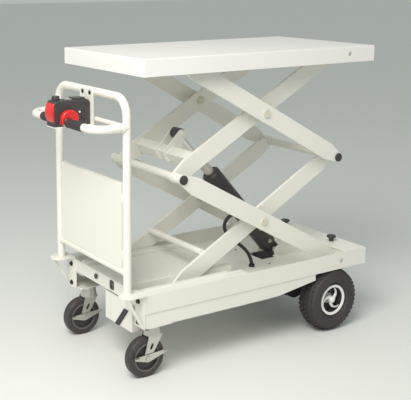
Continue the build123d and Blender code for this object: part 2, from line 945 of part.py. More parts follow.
def handle_frame():
    """One bent tube that forms both posts and the top, with a thin cross bar and a bottom rail."""
    foot = tab_top
    path = FilletPolyline((post_x, -post_y, foot), (post_x, -post_y, tube_line),
                          (post_x, post_y, tube_line), (post_x, post_y, foot), radius=frame_bend)
    ring = Circle(post_radius) - Circle(post_radius - post_wall)
    hoop = sweep(Plane(origin=(post_x, -post_y, foot), z_dir=(0, 0, 1)) * ring, path=path)
    posts = None
    for y in (-post_y, post_y):
        post = bar((post_x, y, foot), (post_x, y, tube_line - frame_bend), post_radius)
        posts = post if posts is None else posts + post
    for height, radius in ((cross_bar_height, cross_bar_radius), (rail_height, rail_radius)):
        hoop += across(post_x, height, -post_y, post_y, radius) - posts
    return [hoop]


def handle_panel():
    """A flanged sheet on the bottom rail, with a welded tab to each post near its corners."""
    side = post_y - post_radius - panel_side_gap
    low = rail_height + rail_radius
    half = panel_flange / 2
    outside = block(post_x - half, post_x + half, -side, side, low, panel_top)
    inner = side - panel_sheet
    hollow = block(post_x - half + panel_sheet, post_x + half + overrun, -inner, inner,
                   low + panel_sheet, panel_top - panel_sheet)
    panel = outside - hollow
    for z in (low + panel_tab, panel_top - panel_tab * 2):
        for turn in (-1, 1):
            edge = turn * side
            reach = turn * (post_y - post_radius)
            panel += block(post_x - half / 2, post_x + half / 2, min(edge, reach), max(edge, reach),
                           z, z + panel_tab)
    return [panel]


def bow_path():
    return FilletPolyline((post_x, -post_y, bow_height), (bow_x, -post_y, bow_height),
                          (bow_x, post_y, bow_height), (post_x, post_y, bow_height), radius=bow_bend)


def push_bow():
    """The bar that the user pushes, welded level to both posts."""
    ring = Circle(post_radius) - Circle(post_radius - post_wall)
    start = Plane(origin=(post_x, -post_y, bow_height), z_dir=(-1, 0, 0))
    bow = sweep(start * ring, path=bow_path())
    for side in (-1, 1):
        bow -= bar((post_x, side * post_y, rail_height), (post_x, side * post_y, frame_height),
                   post_radius + running_gap)
    bow -= across(post_x, cross_bar_height, -post_y, post_y, cross_bar_radius + running_gap)
    return bow.solids().sort_by(SortBy.VOLUME)[-1:]


def push_bow_grips():
    pieces = []
    near_start = head_width / 2 + lever_width + lever_gap * 2 + seat_gap
    far_start = head_width / 2 + seat_gap
    for low, high in ((-grip_near_end, -near_start), (far_start, grip_far_end)):
        grip = across(bow_x, bow_height, low, high, grip_radius)
        grip = fillet(grip.edges().filter_by(GeomType.CIRCLE), grip_edge / 2)
        pieces.append(grip - across(bow_x, bow_height, low, high, post_radius + running_gap))
    return pieces


def handle_bracket():
    """A tab for the post, a plate against the chassis and a brace between them."""
    middle = deck_side - tab_width / 2 + tab_width - back_plate_width
    round_x = plate_face + back_plate_thickness - tab_reach - back_plate_thickness + tab_width / 2
    half = tab_width / 2
    shape = Pos(round_x, middle) * Circle(half)
    shape += Polygon((round_x, middle - half), (-half_deck, middle - half), (-half_deck, middle + half),
                     (round_x, middle + half))
    low = tab_top - tab_thickness
    tab = plan_view(shape, low, tab_top)
    plate_low = low - back_plate_drop
    bracket = tab + block(plate_face, -half_deck, deck_side - back_plate_width, deck_side, plate_low, low)
    tip = round_x - math.sqrt(half ** 2 - (deck_side - middle) ** 2)
    brace = Polygon((tip, low), (tip + brace_thickness * 2, low),
                    (plate_face, plate_low + brace_thickness * 2), (plate_face, plate_low))
    bracket += side_view(brace, deck_side - brace_width, deck_side)
    return bracket


def handle_brackets():
    return both_sides(handle_bracket())


def hexagon_bolt(x, y, z, direction):
    """A hexagon head on its washer."""
    along = Vector(*direction)
    face = Vector(x, y, z)
    washer = bar(tuple(face), tuple(face + along * bolt_washer), bolt_washer_radius)
    start = face + along * bolt_washer
    hexagon = Plane(origin=start, z_dir=along) * RegularPolygon(bolt_head_radius, 6)
    return washer + extrude(hexagon, amount=bolt_head)


def frame_bolts():
    """The bolts of the handle brackets and of the caster plates."""
    pieces = []
    top = deck_height - bracket_bolt_drop
    bolt_y = post_y
    for z in (top, top - bracket_bolt_pitch):
        pieces += both_sides(hexagon_bolt(plate_face, bolt_y, z, (-1, 0, 0)))
    low = skirt_height - caster_plate
    for turn in (-1, 1):
        x = caster_axis_x + turn * (caster_plate_length / 2 - bolt_washer_radius)
        y = deck_side - deck_sheet * 2 - bolt_washer_radius - seat_gap
        pieces += both_sides(hexagon_bolt(x, y, low, (0, 0, -1)))
    return pieces


# Control head

head_back = post_x - post_radius - hanger_sheet
head_front = head_back - head_length
head_top = head_bottom + head_height
belly_middle = (head_bottom + head_top) / 2 + belly_rise
belly_low = belly_middle - belly_height / 2
belly_high = belly_middle + belly_height / 2
lever_x = bow_x + lever_set_back
lever_z = bow_height + lever_rise


def head_hanger():
    """A bent plate that hangs from the top tube, runs behind the head and turns under it."""
    half = hanger_width / 2
    plate = block(head_back, head_back + hanger_sheet, -half, half, head_bottom - hanger_sheet, hanger_top)
    plate = fillet(plate.edges().filter_by(Axis.X).sort_by(Axis.Z)[-2:], hanger_corner)
    under = hanger_flange_width / 2
    return [plate + block(head_front, head_back, -under, under, head_bottom - hanger_sheet, head_bottom)]


def control_head():
    """The moulded housing that closes round the middle of the bow."""
    half = head_width / 2
    length = head_back - head_front
    outline = Pos((head_front + head_back) / 2, (head_bottom + head_top) / 2) * Rectangle(length, head_height)
    upper = outline.vertices().sort_by(Axis.Y)[-2:]
    outline = fillet(upper, head_corner)
    body = side_view(outline, -half, half)
    sides = body.faces().sort_by(Axis.Y)
    body = fillet(sides[0].edges() + sides[-1].edges(), head_edge)
    body -= across(bow_x, bow_height, -half - overrun, half + overrun, post_radius + running_gap)
    pocket = belly_width / 2 + seat_gap
    body -= block(head_front - overrun, head_front + belly_seat + belly_edge, -pocket, pocket,
                  belly_low - seat_gap, belly_high + seat_gap)
    knob_x = head_front + knob_inset
    body -= bar((knob_x, 0, head_top - knob_height), (knob_x, 0, head_top), knob_stem_radius + running_gap)
    rocker_x = head_back - rocker_inset
    rocker_z = head_bottom + rocker_rise
    slot_w = rocker_width / 2 + seat_gap
    slot_h = rocker_length / 2 + seat_gap * 2
    body -= block(rocker_x - slot_w, rocker_x + slot_w, -half - overrun, rocker_depth + rocker_back - half,
                  rocker_z - slot_h, rocker_z + slot_h)
    reach = rocker_width / 2 + rocker_pin_reach + seat_gap
    y = rocker_pin_depth - half
    bore = rocker_pin_radius + running_gap
    body -= bar((rocker_x - reach, y, rocker_z), (rocker_x + reach, y, rocker_z), bore)
    return [body]


def reverse_button():
    """The red belly button, crowned towards the user."""
    half = belly_width / 2
    front = belly_face - belly_bulge
    crown = ThreePointArc((head_front, belly_low), (front, belly_middle), (head_front, belly_high))
    edge = head_front + belly_seat
    rest = Polyline((head_front, belly_high), (edge, belly_high), (edge, belly_low), (head_front, belly_low))
    return [side_view(make_face(crown + rest), -half, half)]


def throttle_lever():
    """The crescent thumb lever on a ring round the bow."""
    low = -head_width / 2 - lever_gap - lever_width
    high = -head_width / 2 - lever_gap
    ring = Pos(lever_x, lever_z) * Circle(lever_radius) - Pos(lever_x, lever_z) * Circle(lever_inner_radius)
    ring -= Pos(lever_x, lever_z - lever_radius * 2) * Rectangle(lever_radius * 3, lever_radius * 3)
    hub = Pos(bow_x, bow_height) * Circle(post_radius + lever_hub_wall)
    shape = ring + hub - Pos(bow_x, bow_height) * Circle(post_radius + seat_gap)
    return [side_view(shape, low, high)]


def speed_knob():
    x = head_front + knob_inset
    low = head_top + seat_gap
    cap = bar((x, 0, low), (x, 0, low + knob_height), knob_radius)
    cap = fillet(cap.faces().sort_by(Axis.Z)[-1].edges(), knob_edge)
    stem = bar((x, 0, head_top - knob_height / 2), (x, 0, low), knob_stem_radius)
    return [cap + stem]


def lift_rocker():
    """The rocker that raises and lowers the table, on a pin through its middle."""
    x = head_back - rocker_inset
    z = head_bottom + rocker_rise
    face = -head_width / 2
    half = rocker_length / 2
    outline = Polygon((face + rocker_depth, z - half), (face + rocker_depth, z + half),
                      (face - rocker_ear, z + half), (face - rocker_waist, z), (face - rocker_ear, z - half))
    reach = rocker_width / 2 + rocker_pin_reach
    y = face + rocker_pin_depth
    pin = bar((x - reach, y, z), (x + reach, y, z), rocker_pin_radius)
    return [end_view(outline, x - rocker_width / 2, x + rocker_width / 2) + pin]


# Things on the handle end and under the platform

def power_button():
    """A push button whose shank goes through the end plate."""
    y = button_offset
    z = deck_height - button_drop
    face = -half_deck
    cap = bar((face - button_height, y, z), (face - button_bezel, y, z), button_radius)
    back = face + deck_sheet + overrun
    shank = bar((face - button_bezel, y, z), (back, y, z), button_radius - button_bezel)
    return [cap + shank]


def charging_socket():
    """A flush socket with a raised rim and a recess for the charger's plug."""
    y = -socket_offset
    z = deck_height - socket_drop
    face = -half_deck
    rim = Pos(y, z) * RectangleRounded(socket_width, socket_height, socket_corner)
    half_w = socket_width - socket_plate * 2 - running_gap * 4
    half_h = socket_height - socket_plate * 2 - running_gap * 4
    body = Pos(y, z) * Rectangle(half_w, half_h)
    solid = end_view(rim, face - socket_plate, face)
    solid += end_view(body, face, face + deck_sheet)
    recess = Pos(y, z) * Circle(socket_bore_radius)
    return [solid - end_view(recess, face - socket_plate, face + deck_sheet)]


def control_box():
    """A sheet steel box under the near half of the platform, closed by its own lid."""
    start = -half_deck
    low, high = box_bottom, pan_under
    outside = block(start, start + box_length, -box_near_side, -box_far_side, low, high)
    outside = fillet(outside.edges().filter_by(Axis.Z), box_sheet)
    inside = block(start + box_sheet, start + box_length - box_sheet, box_sheet - box_near_side,
                   -box_far_side - box_sheet, low + box_sheet, high - box_sheet)
    return [outside - inside]


def batteries():
    """Two batteries side by side inside the box."""
    pieces = []
    middle_y = -(box_near_side + box_far_side) / 2
    half = battery_width / 2
    long = battery_length
    low = box_bottom + box_sheet
    for index in range(battery_count):
        start = -half_deck + battery_gap + index * (long + battery_gap)
        case = block(start, start + long, middle_y - half, middle_y + half, low, low + battery_height)
        case = fillet(upright_edges(case), box_sheet)
        pieces.append(case)
    return pieces


def wiring_conduit():
    """A flat rubber strip that leads the wiring down the front of the box."""
    face = -half_deck
    half = conduit_width / 2
    bottom = box_bottom + seat_gap
    outline = Polygon((-conduit_top_offset - half, conduit_top), (-conduit_bottom_offset - half, bottom),
                      (-conduit_bottom_offset + half, bottom), (-conduit_top_offset + half, conduit_top))
    return [end_view(outline, face - conduit_thickness, face)]


def hose_grommet():
    """A flared rubber ring in the pan."""
    bore = hose_radius + running_gap
    x = grommet_place_x
    y = grommet_place_y
    flare = Solid.make_cone(grommet_radius, grommet_radius - grommet_lip, grommet_height)
    ring = Pos(x, y, pan_top) * flare
    ring += bar((x, y, pan_under), (x, y, pan_top), hose_radius + grommet_sleeve - running_gap)
    return [ring - bar((x, y, pan_under), (x, y, pan_top + grommet_height), bore)]


def hydraulic_hose():
    """The hose from the barrel's adapter to the grommet, as straight runs joined by tangent arcs."""
    hose_points = [(x, y, pivot_height + rise) for x, y, rise in hose_route]
    points = [Vector(*point) for point in hose_points]
    radii = []
    for before, here, after in zip(points, points[1:], points[2:]):
        turn = math.radians((here - before).get_angle(after - here))
        shorter = min((here - before).length, (after - here).length)
        radii.append(hose_bend_share * shorter / math.tan(turn / 2))
    print("hose radii", [round(radius) for radius in radii])
    path = FilletPolyline(*hose_points, radius=radii)
    start = Plane(origin=hose_points[0], z_dir=points[1] - points[0])
    hose = sweep(start * Circle(hose_radius), path=path)
    print("hose volume ratio", round(hose.volume / (math.pi * hose_radius ** 2 * path.length), 4),
          "length", round(path.length))
    return [hose]


# Drive wheels, axle, motor and pump

def drive_tyre():
    """A pneumatic tyre with rounded shoulders and a groove pattern round the tread."""
    outer = tyre_outer_face
    inner = outer - tyre_width
    low = rim_radius + running_gap
    high = wheel_radius
    step = tyre_shoulder
    fall = tyre_fall
    bead = (tyre_width - rim_width) / 2
    foot = low + tyre_foot_step
    cheek = low + tyre_foot_rise
    outline = Polygon((inner + bead, low), (outer - bead, low), (outer - fall, foot), (outer, cheek),
                      (outer - fall, high - step), (outer - step, high - fall), ((outer + inner) / 2, high),
                      (inner + step, high - fall), (inner + fall, high - step), (inner, cheek),
                      (inner + fall, foot))
    plane = Plane(origin=(wheel_x, 0, wheel_radius), x_dir=(0, 1, 0), z_dir=(1, 0, 0))
    axis = Axis((wheel_x, 0, wheel_radius), (0, 1, 0))
    return revolve(plane * outline, axis=axis)


def drive_rim():
    """A rim with a lip, a hub and curved spokes, bored for the axle."""
    outer = tyre_outer_face - (tyre_width - rim_width) / 2
    inner = outer - rim_width
    z = wheel_radius
    rim = across(wheel_x, z, inner, outer, rim_radius, rim_radius - rim_lip)
    disc_low = outer - rim_disc * 2
    shape = Circle(rim_hub_radius)
    reach = rim_radius - rim_lip / 2
    for index in range(spoke_count):
        turn = 360 / spoke_count * index + 90 / spoke_count
        spoke = Pos(reach / 2, 0) * Rectangle(reach, spoke_width)
        spoke -= Pos(reach / 2, spoke_width) * Circle(spoke_cut_radius)
        shape += Rot(0, 0, turn) * spoke
    rim += side_view(Pos(wheel_x, z) * shape, disc_low, disc_low + rim_disc)
    rim += across(wheel_x, z, inner, outer, rim_hub_radius)
    cap = across(wheel_x, z, outer, outer + hub_cap, hub_cap_radius)
    rim += fillet(cap.faces().sort_by(Axis.Y)[-1].edges(), hub_cap / 2)
    return rim - across(wheel_x, z, inner - overrun, outer, axle_radius + running_gap)


def drive_axle():
    """The axle tube with its hanger plates, a gearbox in the middle and a stub for each wheel."""
    z = wheel_radius
    rim_inner = tyre_outer_face - (tyre_width - rim_width) / 2 - rim_width
    tube_end = rim_inner - seat_gap
    stub_end = rim_inner + rim_width - seat_gap
    axle = across(wheel_x, z, -tube_end, tube_end, axle_tube_radius)
    axle += across(wheel_x, z, -stub_end, stub_end, axle_radius)
    half = gearbox_width / 2
    motor_place = (wheel_x - motor_forward, z + motor_rise)
    box = side_view(strap((wheel_x, z), gearbox_radius, motor_place, motor_radius), -half, half)
    sides = box.faces().sort_by(Axis.Y)
    axle += fillet(sides[0].edges() + sides[-1].edges(), gearbox_edge)
    foot = hanger_foot_width / 2
    ear = axle_tube_radius + hanger_plate
    shape = Pos(wheel_x, z) * Circle(ear)
    shape += Polygon((wheel_x - ear, z), (wheel_x + ear, z),
                     (wheel_x + foot, pan_under), (wheel_x - foot, pan_under))
    plate = side_view(shape, hanger_plate_place, hanger_plate_place + hanger_plate)
    for piece in both_sides(plate):
        axle += piece
    return [axle]


def drive_motor():
    """The ribbed motor drum on the near side of the gearbox."""
    x = wheel_x - motor_forward
    z = wheel_radius + motor_rise
    start = -gearbox_width / 2
    drum = across(x, z, start - motor_length, start, motor_radius - motor_rib)
    pitch = motor_length / (motor_rib_count + 1)
    for index in range(motor_rib_count):
        y = start - motor_length + pitch * (index + 1)
        drum += across(x, z, y - motor_rib / 2, y + motor_rib / 2, motor_radius)
    drum += across(x, z, start - motor_length, start - motor_length + motor_rib, motor_radius)
    return [drum]


def pump_unit():
    """The hydraulic pump: an oil tank bolted to the drive end plate and its motor beside it."""
    back = half_deck - deck_sheet
    high = deck_under - pump_headroom
    low = band_bottom - pump_drop
    tank = block(back - pump_length, back, 0, pump_width, low, high)
    tank = fillet(upright_edges(tank), pump_edge)
    x = back - pump_length / 2
    motor = across(x, (low + high) / 2, -pump_motor_length, 0, pump_motor_radius)
    return [tank + fillet(motor.faces().sort_by(Axis.Y)[0].edges(), pump_edge)]


# Casters

def caster_plates():
    low = skirt_height - caster_plate
    half = caster_plate_length / 2
    far = deck_side - deck_sheet
    near = far - caster_plate_width
    plate = block(caster_axis_x - half, caster_axis_x + half, near, far, low, skirt_height)
    return both_sides(fillet(upright_edges(plate), caster_plate_corner))


def caster_fork():
    """A pressed fork: a crown under the plate and two legs down to the axle."""
    plate_low = skirt_height - caster_plate
    crown_top = plate_low - seat_gap
    race_low = crown_top - fork_crown_height
    tyre_top = caster_radius * 2
    crown_low = tyre_top + fork_gap
    x = caster_axis_x
    y = caster_side
    fork = bar((x, y, race_low), (x, y, crown_top), fork_race_radius)
    skirt = Solid.make_cone(fork_crown_radius, fork_race_radius, race_low - crown_low)
    fork += Pos(x, y, crown_low) * skirt
    leg_low = caster_width / 2 + fork_gap
    leg_top = crown_low + fork_sheet
    outline = Polygon((x - fork_leg_radius, leg_top), (caster_x - fork_boss_radius, caster_radius),
                      (caster_x + fork_boss_radius, caster_radius), (x + fork_leg_radius, leg_top))
    outline += Pos(caster_x, caster_radius) * Circle(fork_boss_radius)
    slot_x = (x + caster_x) / 2
    slot_z = (leg_top + caster_radius) / 2
    lean = math.degrees(math.atan2(leg_top - caster_radius, caster_trail))
    outline -= Pos(slot_x, slot_z) * Rot(0, 0, lean) * SlotOverall(fork_slot_length, fork_slot_radius * 2)
    for low, high in ((leg_low, leg_low + fork_sheet), (-leg_low - fork_sheet, -leg_low)):
        fork += side_view(outline, y + low, y + high)
    inner = y - leg_low - fork_sheet
    outer = y + leg_low + fork_sheet + brake_gap + brake_sheet + seat_gap
    axle = across(caster_x, caster_radius, inner, outer, caster_axle_radius)
    for low, high in ((inner - brake_nut, inner), (outer, outer + brake_nut)):
        axle += across(caster_x, caster_radius, low, high, brake_nut_radius)
    return fork + axle


def caster_wheel():
    """A rubber wheel with a dished core, bored for its axle."""
    half = caster_width / 2
    boss = half + fork_gap - seat_gap
    bore = caster_axle_radius + running_gap
    dish = half - caster_hub_dish
    r = caster_radius
    outline = Polygon((-boss, bore), (boss, bore), (boss, caster_boss_radius), (dish, caster_boss_radius),
                      (dish, caster_hub_radius), (half, caster_hub_radius), (half, r - caster_shoulder),
                      (half - caster_chamfer, r - caster_chamfer_fall), (half - caster_shoulder, r),
                      (caster_shoulder - half, r), (caster_chamfer - half, r - caster_chamfer_fall),
                      (-half, r - caster_shoulder), (-half, caster_hub_radius), (-dish, caster_hub_radius),
                      (-dish, caster_boss_radius), (-boss, caster_boss_radius))
    plane = Plane(origin=(caster_x, caster_side, r), x_dir=(0, 1, 0), z_dir=(1, 0, 0))
    return revolve(plane * outline, axis=Axis((caster_x, caster_side, r), (0, 1, 0)))


def caster_brake():
    """The see-saw pedal on the end of the axle, beside the fork."""
    face = caster_side + caster_width / 2 + fork_gap + fork_sheet + brake_gap
    forward = brake_length * brake_forward_share
    backward = brake_length - forward
    front = (caster_x - forward, caster_radius + brake_tip_radius)
    back = (caster_x + backward, caster_radius + brake_tip_radius * 2)
    centre = (caster_x, caster_radius)
    shape = strap(centre, brake_radius, front, brake_tip_radius)
    shape += strap(centre, brake_radius, back, brake_tip_radius)
    lever = side_view(shape, face, face + brake_sheet)
    for x, z in (front, back):
        lever += block(x - brake_tip_radius, x + brake_tip_radius, face, face + brake_tread,
                       z + brake_tip_radius - brake_sheet, z + brake_tip_radius)
    return lever - across(caster_x, caster_radius, face, face + brake_sheet, caster_axle_radius + running_gap)


os.makedirs("parts", exist_ok=True)

save("table_top", table_top())
save("table_underframe", table_underframe())
save("lower_outer_arms", lower_outer_arms())
save("lower_inner_arms", lower_inner_arms())
save("upper_inner_arms", upper_inner_arms())
save("upper_outer_arms", upper_outer_arms())
save("lower_rollers", rollers(pivot_height, inner_high, 1))
save("upper_rollers", rollers(table_pivot_z, outer_low, -1))
save("left_joint_tube", left_joint_tube())
save("lower_cross_tubes", lower_cross_tubes())
save("left_joint_caps", joint_caps(roller_x))
save("right_joint_caps", joint_caps(pivot_x))
save("lower_arm_pins", arm_pins(lower_centre_z))
save("upper_arm_pins", arm_pins(upper_centre_z))
save("lift_beam", lift_beam())
save("cylinder_barrel", cylinder_barrel())
save("barrel_fittings", barrel_fittings())
save("piston_rod", piston_rod())
save("rod_eye", rod_eye())
save("hydraulic_hose", hydraulic_hose())
save("hose_grommet", hose_grommet())
save("side_rails", side_rails())
save("end_plates", end_plates())
save("handle_deck", handle_deck())
save("drive_pan", drive_pan())
save("pivot_brackets", pivot_brackets())
save("drive_end_cover", drive_end_cover())
save("handle_frame", handle_frame())
save("handle_panel", handle_panel())
save("push_bow", push_bow())
save("push_bow_grips", push_bow_grips())
save("handle_brackets", handle_brackets())
save("frame_bolts", frame_bolts())
save("head_hanger", head_hanger())
save("control_head", control_head())
save("reverse_button", reverse_button())
save("throttle_lever", throttle_lever())
save("speed_knob", speed_knob())
save("lift_rocker", lift_rocker())
save("power_button", power_button())
save("charging_socket", charging_socket())
save("control_box", control_box())
save("batteries", batteries())
save("wiring_conduit", wiring_conduit())
save("drive_axle", drive_axle())
save("drive_motor", drive_motor())
save("pump_unit", pump_unit())
save("caster_plates", caster_plates())

# The far side of the cart is the left one for a user who pushes it. Both pedals face the near side
for side, name in ((1, "left"), (-1, "right")):
    for part, solid in (("drive_tyre", drive_tyre()), ("drive_rim", drive_rim())):
        save(f"{name}_{part}", [solid if side > 0 else other_side(solid)])
    for part, solid in (("caster_fork", caster_fork()), ("caster_wheel", caster_wheel()),
                        ("caster_brake", caster_brake())):
        save(f"{name}_{part}", [Pos(0, caster_side + side * caster_side, 0) * other_side(solid)])
    save(f"{name}_cover_knob", cover_knob(side))
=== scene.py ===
import bpy
import bmesh
import math
from mathutils import Matrix, Vector


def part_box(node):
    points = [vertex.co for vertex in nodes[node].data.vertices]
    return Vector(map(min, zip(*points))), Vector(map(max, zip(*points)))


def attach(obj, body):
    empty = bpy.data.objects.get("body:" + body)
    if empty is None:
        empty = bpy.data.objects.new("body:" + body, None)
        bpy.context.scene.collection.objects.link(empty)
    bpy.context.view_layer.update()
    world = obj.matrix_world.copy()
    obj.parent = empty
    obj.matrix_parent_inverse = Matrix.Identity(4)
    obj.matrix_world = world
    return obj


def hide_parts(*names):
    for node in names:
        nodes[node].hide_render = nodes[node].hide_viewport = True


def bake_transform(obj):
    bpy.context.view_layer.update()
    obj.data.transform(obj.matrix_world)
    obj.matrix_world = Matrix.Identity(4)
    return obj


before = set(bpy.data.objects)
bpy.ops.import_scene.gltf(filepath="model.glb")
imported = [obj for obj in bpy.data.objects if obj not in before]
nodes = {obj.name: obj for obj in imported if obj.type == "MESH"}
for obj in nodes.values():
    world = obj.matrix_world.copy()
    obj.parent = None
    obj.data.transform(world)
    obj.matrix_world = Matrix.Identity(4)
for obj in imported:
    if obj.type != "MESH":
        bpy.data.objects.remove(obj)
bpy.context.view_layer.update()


# Chassis pressings and the box beneath them
# Bent and welded sheet steel in one ivory powder coat, whose colour drifts a little and which
# has a fine orange peel and softened edges. The drive end's cover lifts off.

mix_factor, mix_first, mix_second, mix_colour = 0, 6, 7, 2
bump_height = 0.0006
drift_scale, drift_detail, fine_detail, wear_scale = 7, 3, 4, 28


class Value:
    """A socket in a material. An expression on values adds its own Math nodes."""

    def __init__(self, tree, socket=None):
        self.tree = tree
        self.socket = socket

    def node(self, kind, settings=None, sockets=None, output=0):
        """Adds a node, first its settings and then the values or links of its sockets."""
        made = self.tree.nodes.new(kind)
        for name, setting in (settings or {}).items():
            setattr(made, name, setting)
        for name, value in (sockets or {}).items():
            if isinstance(value, Value):
                self.tree.links.new(value.socket, made.inputs[name])
            else:
                made.inputs[name].default_value = value
        return Value(self.tree, made.outputs[output])

    def maths(self, operation, first, second):
        return self.node("ShaderNodeMath", {"operation": operation}, {0: first, 1: second})

    def __add__(self, other):
        return self.maths("ADD", self, other)

    def __radd__(self, other):
        return self.maths("ADD", other, self)

    def __mul__(self, other):
        return self.maths("MULTIPLY", self, other)

    def __rmul__(self, other):
        return self.maths("MULTIPLY", other, self)

    def noise(self, scale, detail=2.0):
        """Noise on the object's own coordinates, from 0 to 1."""
        place = self.node("ShaderNodeTexCoord", output="Object")
        return self.node("ShaderNodeTexNoise", None,
                         {"Vector": place, "Scale": scale, "Detail": detail})

    def blend(self, factor, first, second):
        """A colour between two others."""
        ends = {mix_factor: factor, mix_first: first, mix_second: second}
        return self.node("ShaderNodeMix", {"data_type": "RGBA"}, ends, output=mix_colour)


def finish(name, base, rough, metal=0.0, tint=0.05, grain=400, relief=0.05, edge=0.0008,
           spread=0.08, coat=0.0):
    """A surface whose colour drifts a little, with a fine relief and softened edges."""
    made = bpy.data.materials.new(name)
    made.use_nodes = True
    shader = made.node_tree.nodes["Principled BSDF"]
    sheet = Value(made.node_tree)
    dark = [channel * (1 - tint) for channel in base]
    drift = sheet.noise(drift_scale, drift_detail)
    colour = sheet.blend(drift, (*dark, 1), (*base, 1))
    fine = sheet.noise(grain, fine_detail)
    rounded = sheet.node("ShaderNodeBevel", {"samples": 4}, {"Radius": edge})
    bump = sheet.node("ShaderNodeBump", None, {"Strength": relief, "Distance": bump_height,
                                               "Height": fine, "Normal": rounded})
    links = made.node_tree.links
    links.new(colour.socket, shader.inputs["Base Color"])
    roughness = rough - spread / 2 + sheet.noise(wear_scale) * spread
    links.new(roughness.socket, shader.inputs["Roughness"])
    links.new(bump.socket, shader.inputs["Normal"])
    shader.inputs["Metallic"].default_value = metal
    shader.inputs["Coat Weight"].default_value = coat
    return made


def dress(material, *names):
    """Gives a CAD node its finish."""
    for name in names:
        for slot in nodes[name].material_slots:
            slot.material = material


ivory = finish("ivory_powder_coat", (0.84, 0.825, 0.76), 0.42, tint=0.035, grain=520,
               relief=0.06, edge=0.0012)
dress(ivory, "side_rails", "end_plates", "handle_deck", "drive_pan", "control_box",
      "pivot_brackets", "drive_end_cover", "caster_plates")


# Two screws in the drive half's floor
# Black button heads that hold the pump's bracket from below. Each is a low dome, set on the
# sheet where the screw goes through.

def placed(name, data):
    """An object in the scene for a mesh, a curve, a lamp or a camera."""
    made = bpy.data.objects.new(name, data)
    bpy.context.collection.objects.link(made)
    return made


def formed(name, form):
    """An object for what was modelled in a bmesh, which is freed."""
    mesh = bpy.data.meshes.new(name)
    form.to_mesh(mesh)
    form.free()
    return placed(name, mesh)


def points_mesh(name, places):
    """A mesh of loose points, which a node tree puts a fastener on."""
    mesh = bpy.data.meshes.new(name)
    mesh.from_pydata([Vector(place) for place in places], [], [])
    return placed(name, mesh)


def group_inputs(tree, inputs):
    """Names the sizes that a modifier may set, and returns the node they come out of."""
    for name, kind, default in inputs:
        socket = tree.interface.new_socket(name, in_out="INPUT", socket_type=kind)
        if default is not None:
            socket.default_value = default
    tree.interface.new_socket("Geometry", in_out="OUTPUT", socket_type="NodeSocketGeometry")
    return tree.nodes.new("NodeGroupInput")


def spread_out(tree, given, points, copy, rotation):
    """Sets a copy on each point, turned, and gives all of them the material."""
    place = tree.nodes.new("GeometryNodeInstanceOnPoints")
    tree.links.new(points, place.inputs["Points"])
    tree.links.new(copy, place.inputs["Instance"])
    tree.links.new(rotation, place.inputs["Rotation"])
    real = tree.nodes.new("GeometryNodeRealizeInstances")
    tree.links.new(place.outputs["Instances"], real.inputs["Geometry"])
    paint = tree.nodes.new("GeometryNodeSetMaterial")
    tree.links.new(real.outputs["Geometry"], paint.inputs["Geometry"])
    tree.links.new(given.outputs["Material"], paint.inputs["Material"])
    out = tree.nodes.new("NodeGroupOutput")
    tree.links.new(paint.outputs["Geometry"], out.inputs["Geometry"])
    return place


def grow(made, tree, values, material):
    """Runs a node tree on an object and leaves its result as a plain mesh."""
    modifier = made.modifiers.new("grow", "NODES")
    modifier.node_group = tree
    identifiers = {item.name: item.identifier for item in tree.interface.items_tree
                   if item.in_out == "INPUT"}
    for name, value in values.items():
        modifier[identifiers[name]] = value
    modifier[identifiers["Material"]] = material
    graph = bpy.context.evaluated_depsgraph_get()
    mesh = bpy.data.meshes.new_from_object(made.evaluated_get(graph))
    made.modifiers.remove(modifier)
    made.data = mesh
    if not mesh.materials:
        mesh.materials.append(material)
    return made


def button_head_tree():
    """A low dome at each point, turned to face along one direction."""
    tree = bpy.data.node_groups.new("button_heads", "GeometryNodeTree")
    given = group_inputs(tree, (("Geometry", "NodeSocketGeometry", None),
                                ("Radius", "NodeSocketFloat", 0.004),
                                ("Facing", "NodeSocketVector", (0.0, 0.0, 1.0)),
                                ("Material", "NodeSocketMaterial", None)))
    dome = tree.nodes.new("GeometryNodeMeshUVSphere")
    dome.inputs["Segments"].default_value = 16
    dome.inputs["Rings"].default_value = 8
    tree.links.new(given.outputs["Radius"], dome.inputs["Radius"])
    flat = tree.nodes.new("GeometryNodeTransform")
    flat.inputs["Scale"].default_value = (1.0, 1.0, dome_share)
    tree.links.new(dome.outputs["Mesh"], flat.inputs["Geometry"])
    turn = tree.nodes.new("FunctionNodeAlignRotationToVector")
    tree.links.new(given.outputs["Facing"], turn.inputs["Vector"])
    spread_out(tree, given, given.outputs["Geometry"], flat.outputs["Geometry"],
               turn.outputs["Rotation"])
    return tree


def smooth(made):
    """Smooth shading on every face."""
    for face in made.data.polygons:
        face.use_smooth = True
    return made


dome_share = 0.55
black_oxide = finish("black_oxide", (0.045, 0.045, 0.047), 0.38, metal=0.6, tint=0.2, grain=900)
button_heads = button_head_tree()
pan_depth = 0.0483
pan_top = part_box("drive_pan")[1][2] - pan_depth
screw_x, screw_y, screw_radius = 0.261, 0.102, 0.0048
screw_places = [(screw_x, y, pan_top) for y in (-screw_y, screw_y)]
pan_screws = grow(points_mesh("pan_screws", screw_places), button_heads,
                  {"Radius": screw_radius}, black_oxide)
smooth(pan_screws)
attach(pan_screws, "chassis")


# Hydraulic hose
# One black hose from the adapter on the barrel to the grommet in the floor. It leaves the
# barrel forwards, droops over in an open loop and comes down through the grommet.

hose_radius = 0.0065
hose_route = ((0.265, -0.050, 0.366), (0.232, -0.051, 0.412), (0.188, -0.052, 0.438),
              (0.142, -0.053, 0.447), (0.104, -0.054, 0.441), (0.083, -0.055, 0.421),
              (0.080, -0.057, 0.395), (0.096, -0.061, 0.368), (0.126, -0.066, 0.343),
              (0.158, -0.074, 0.317), (0.180, -0.084, 0.288), (0.186, -0.090, 0.255))


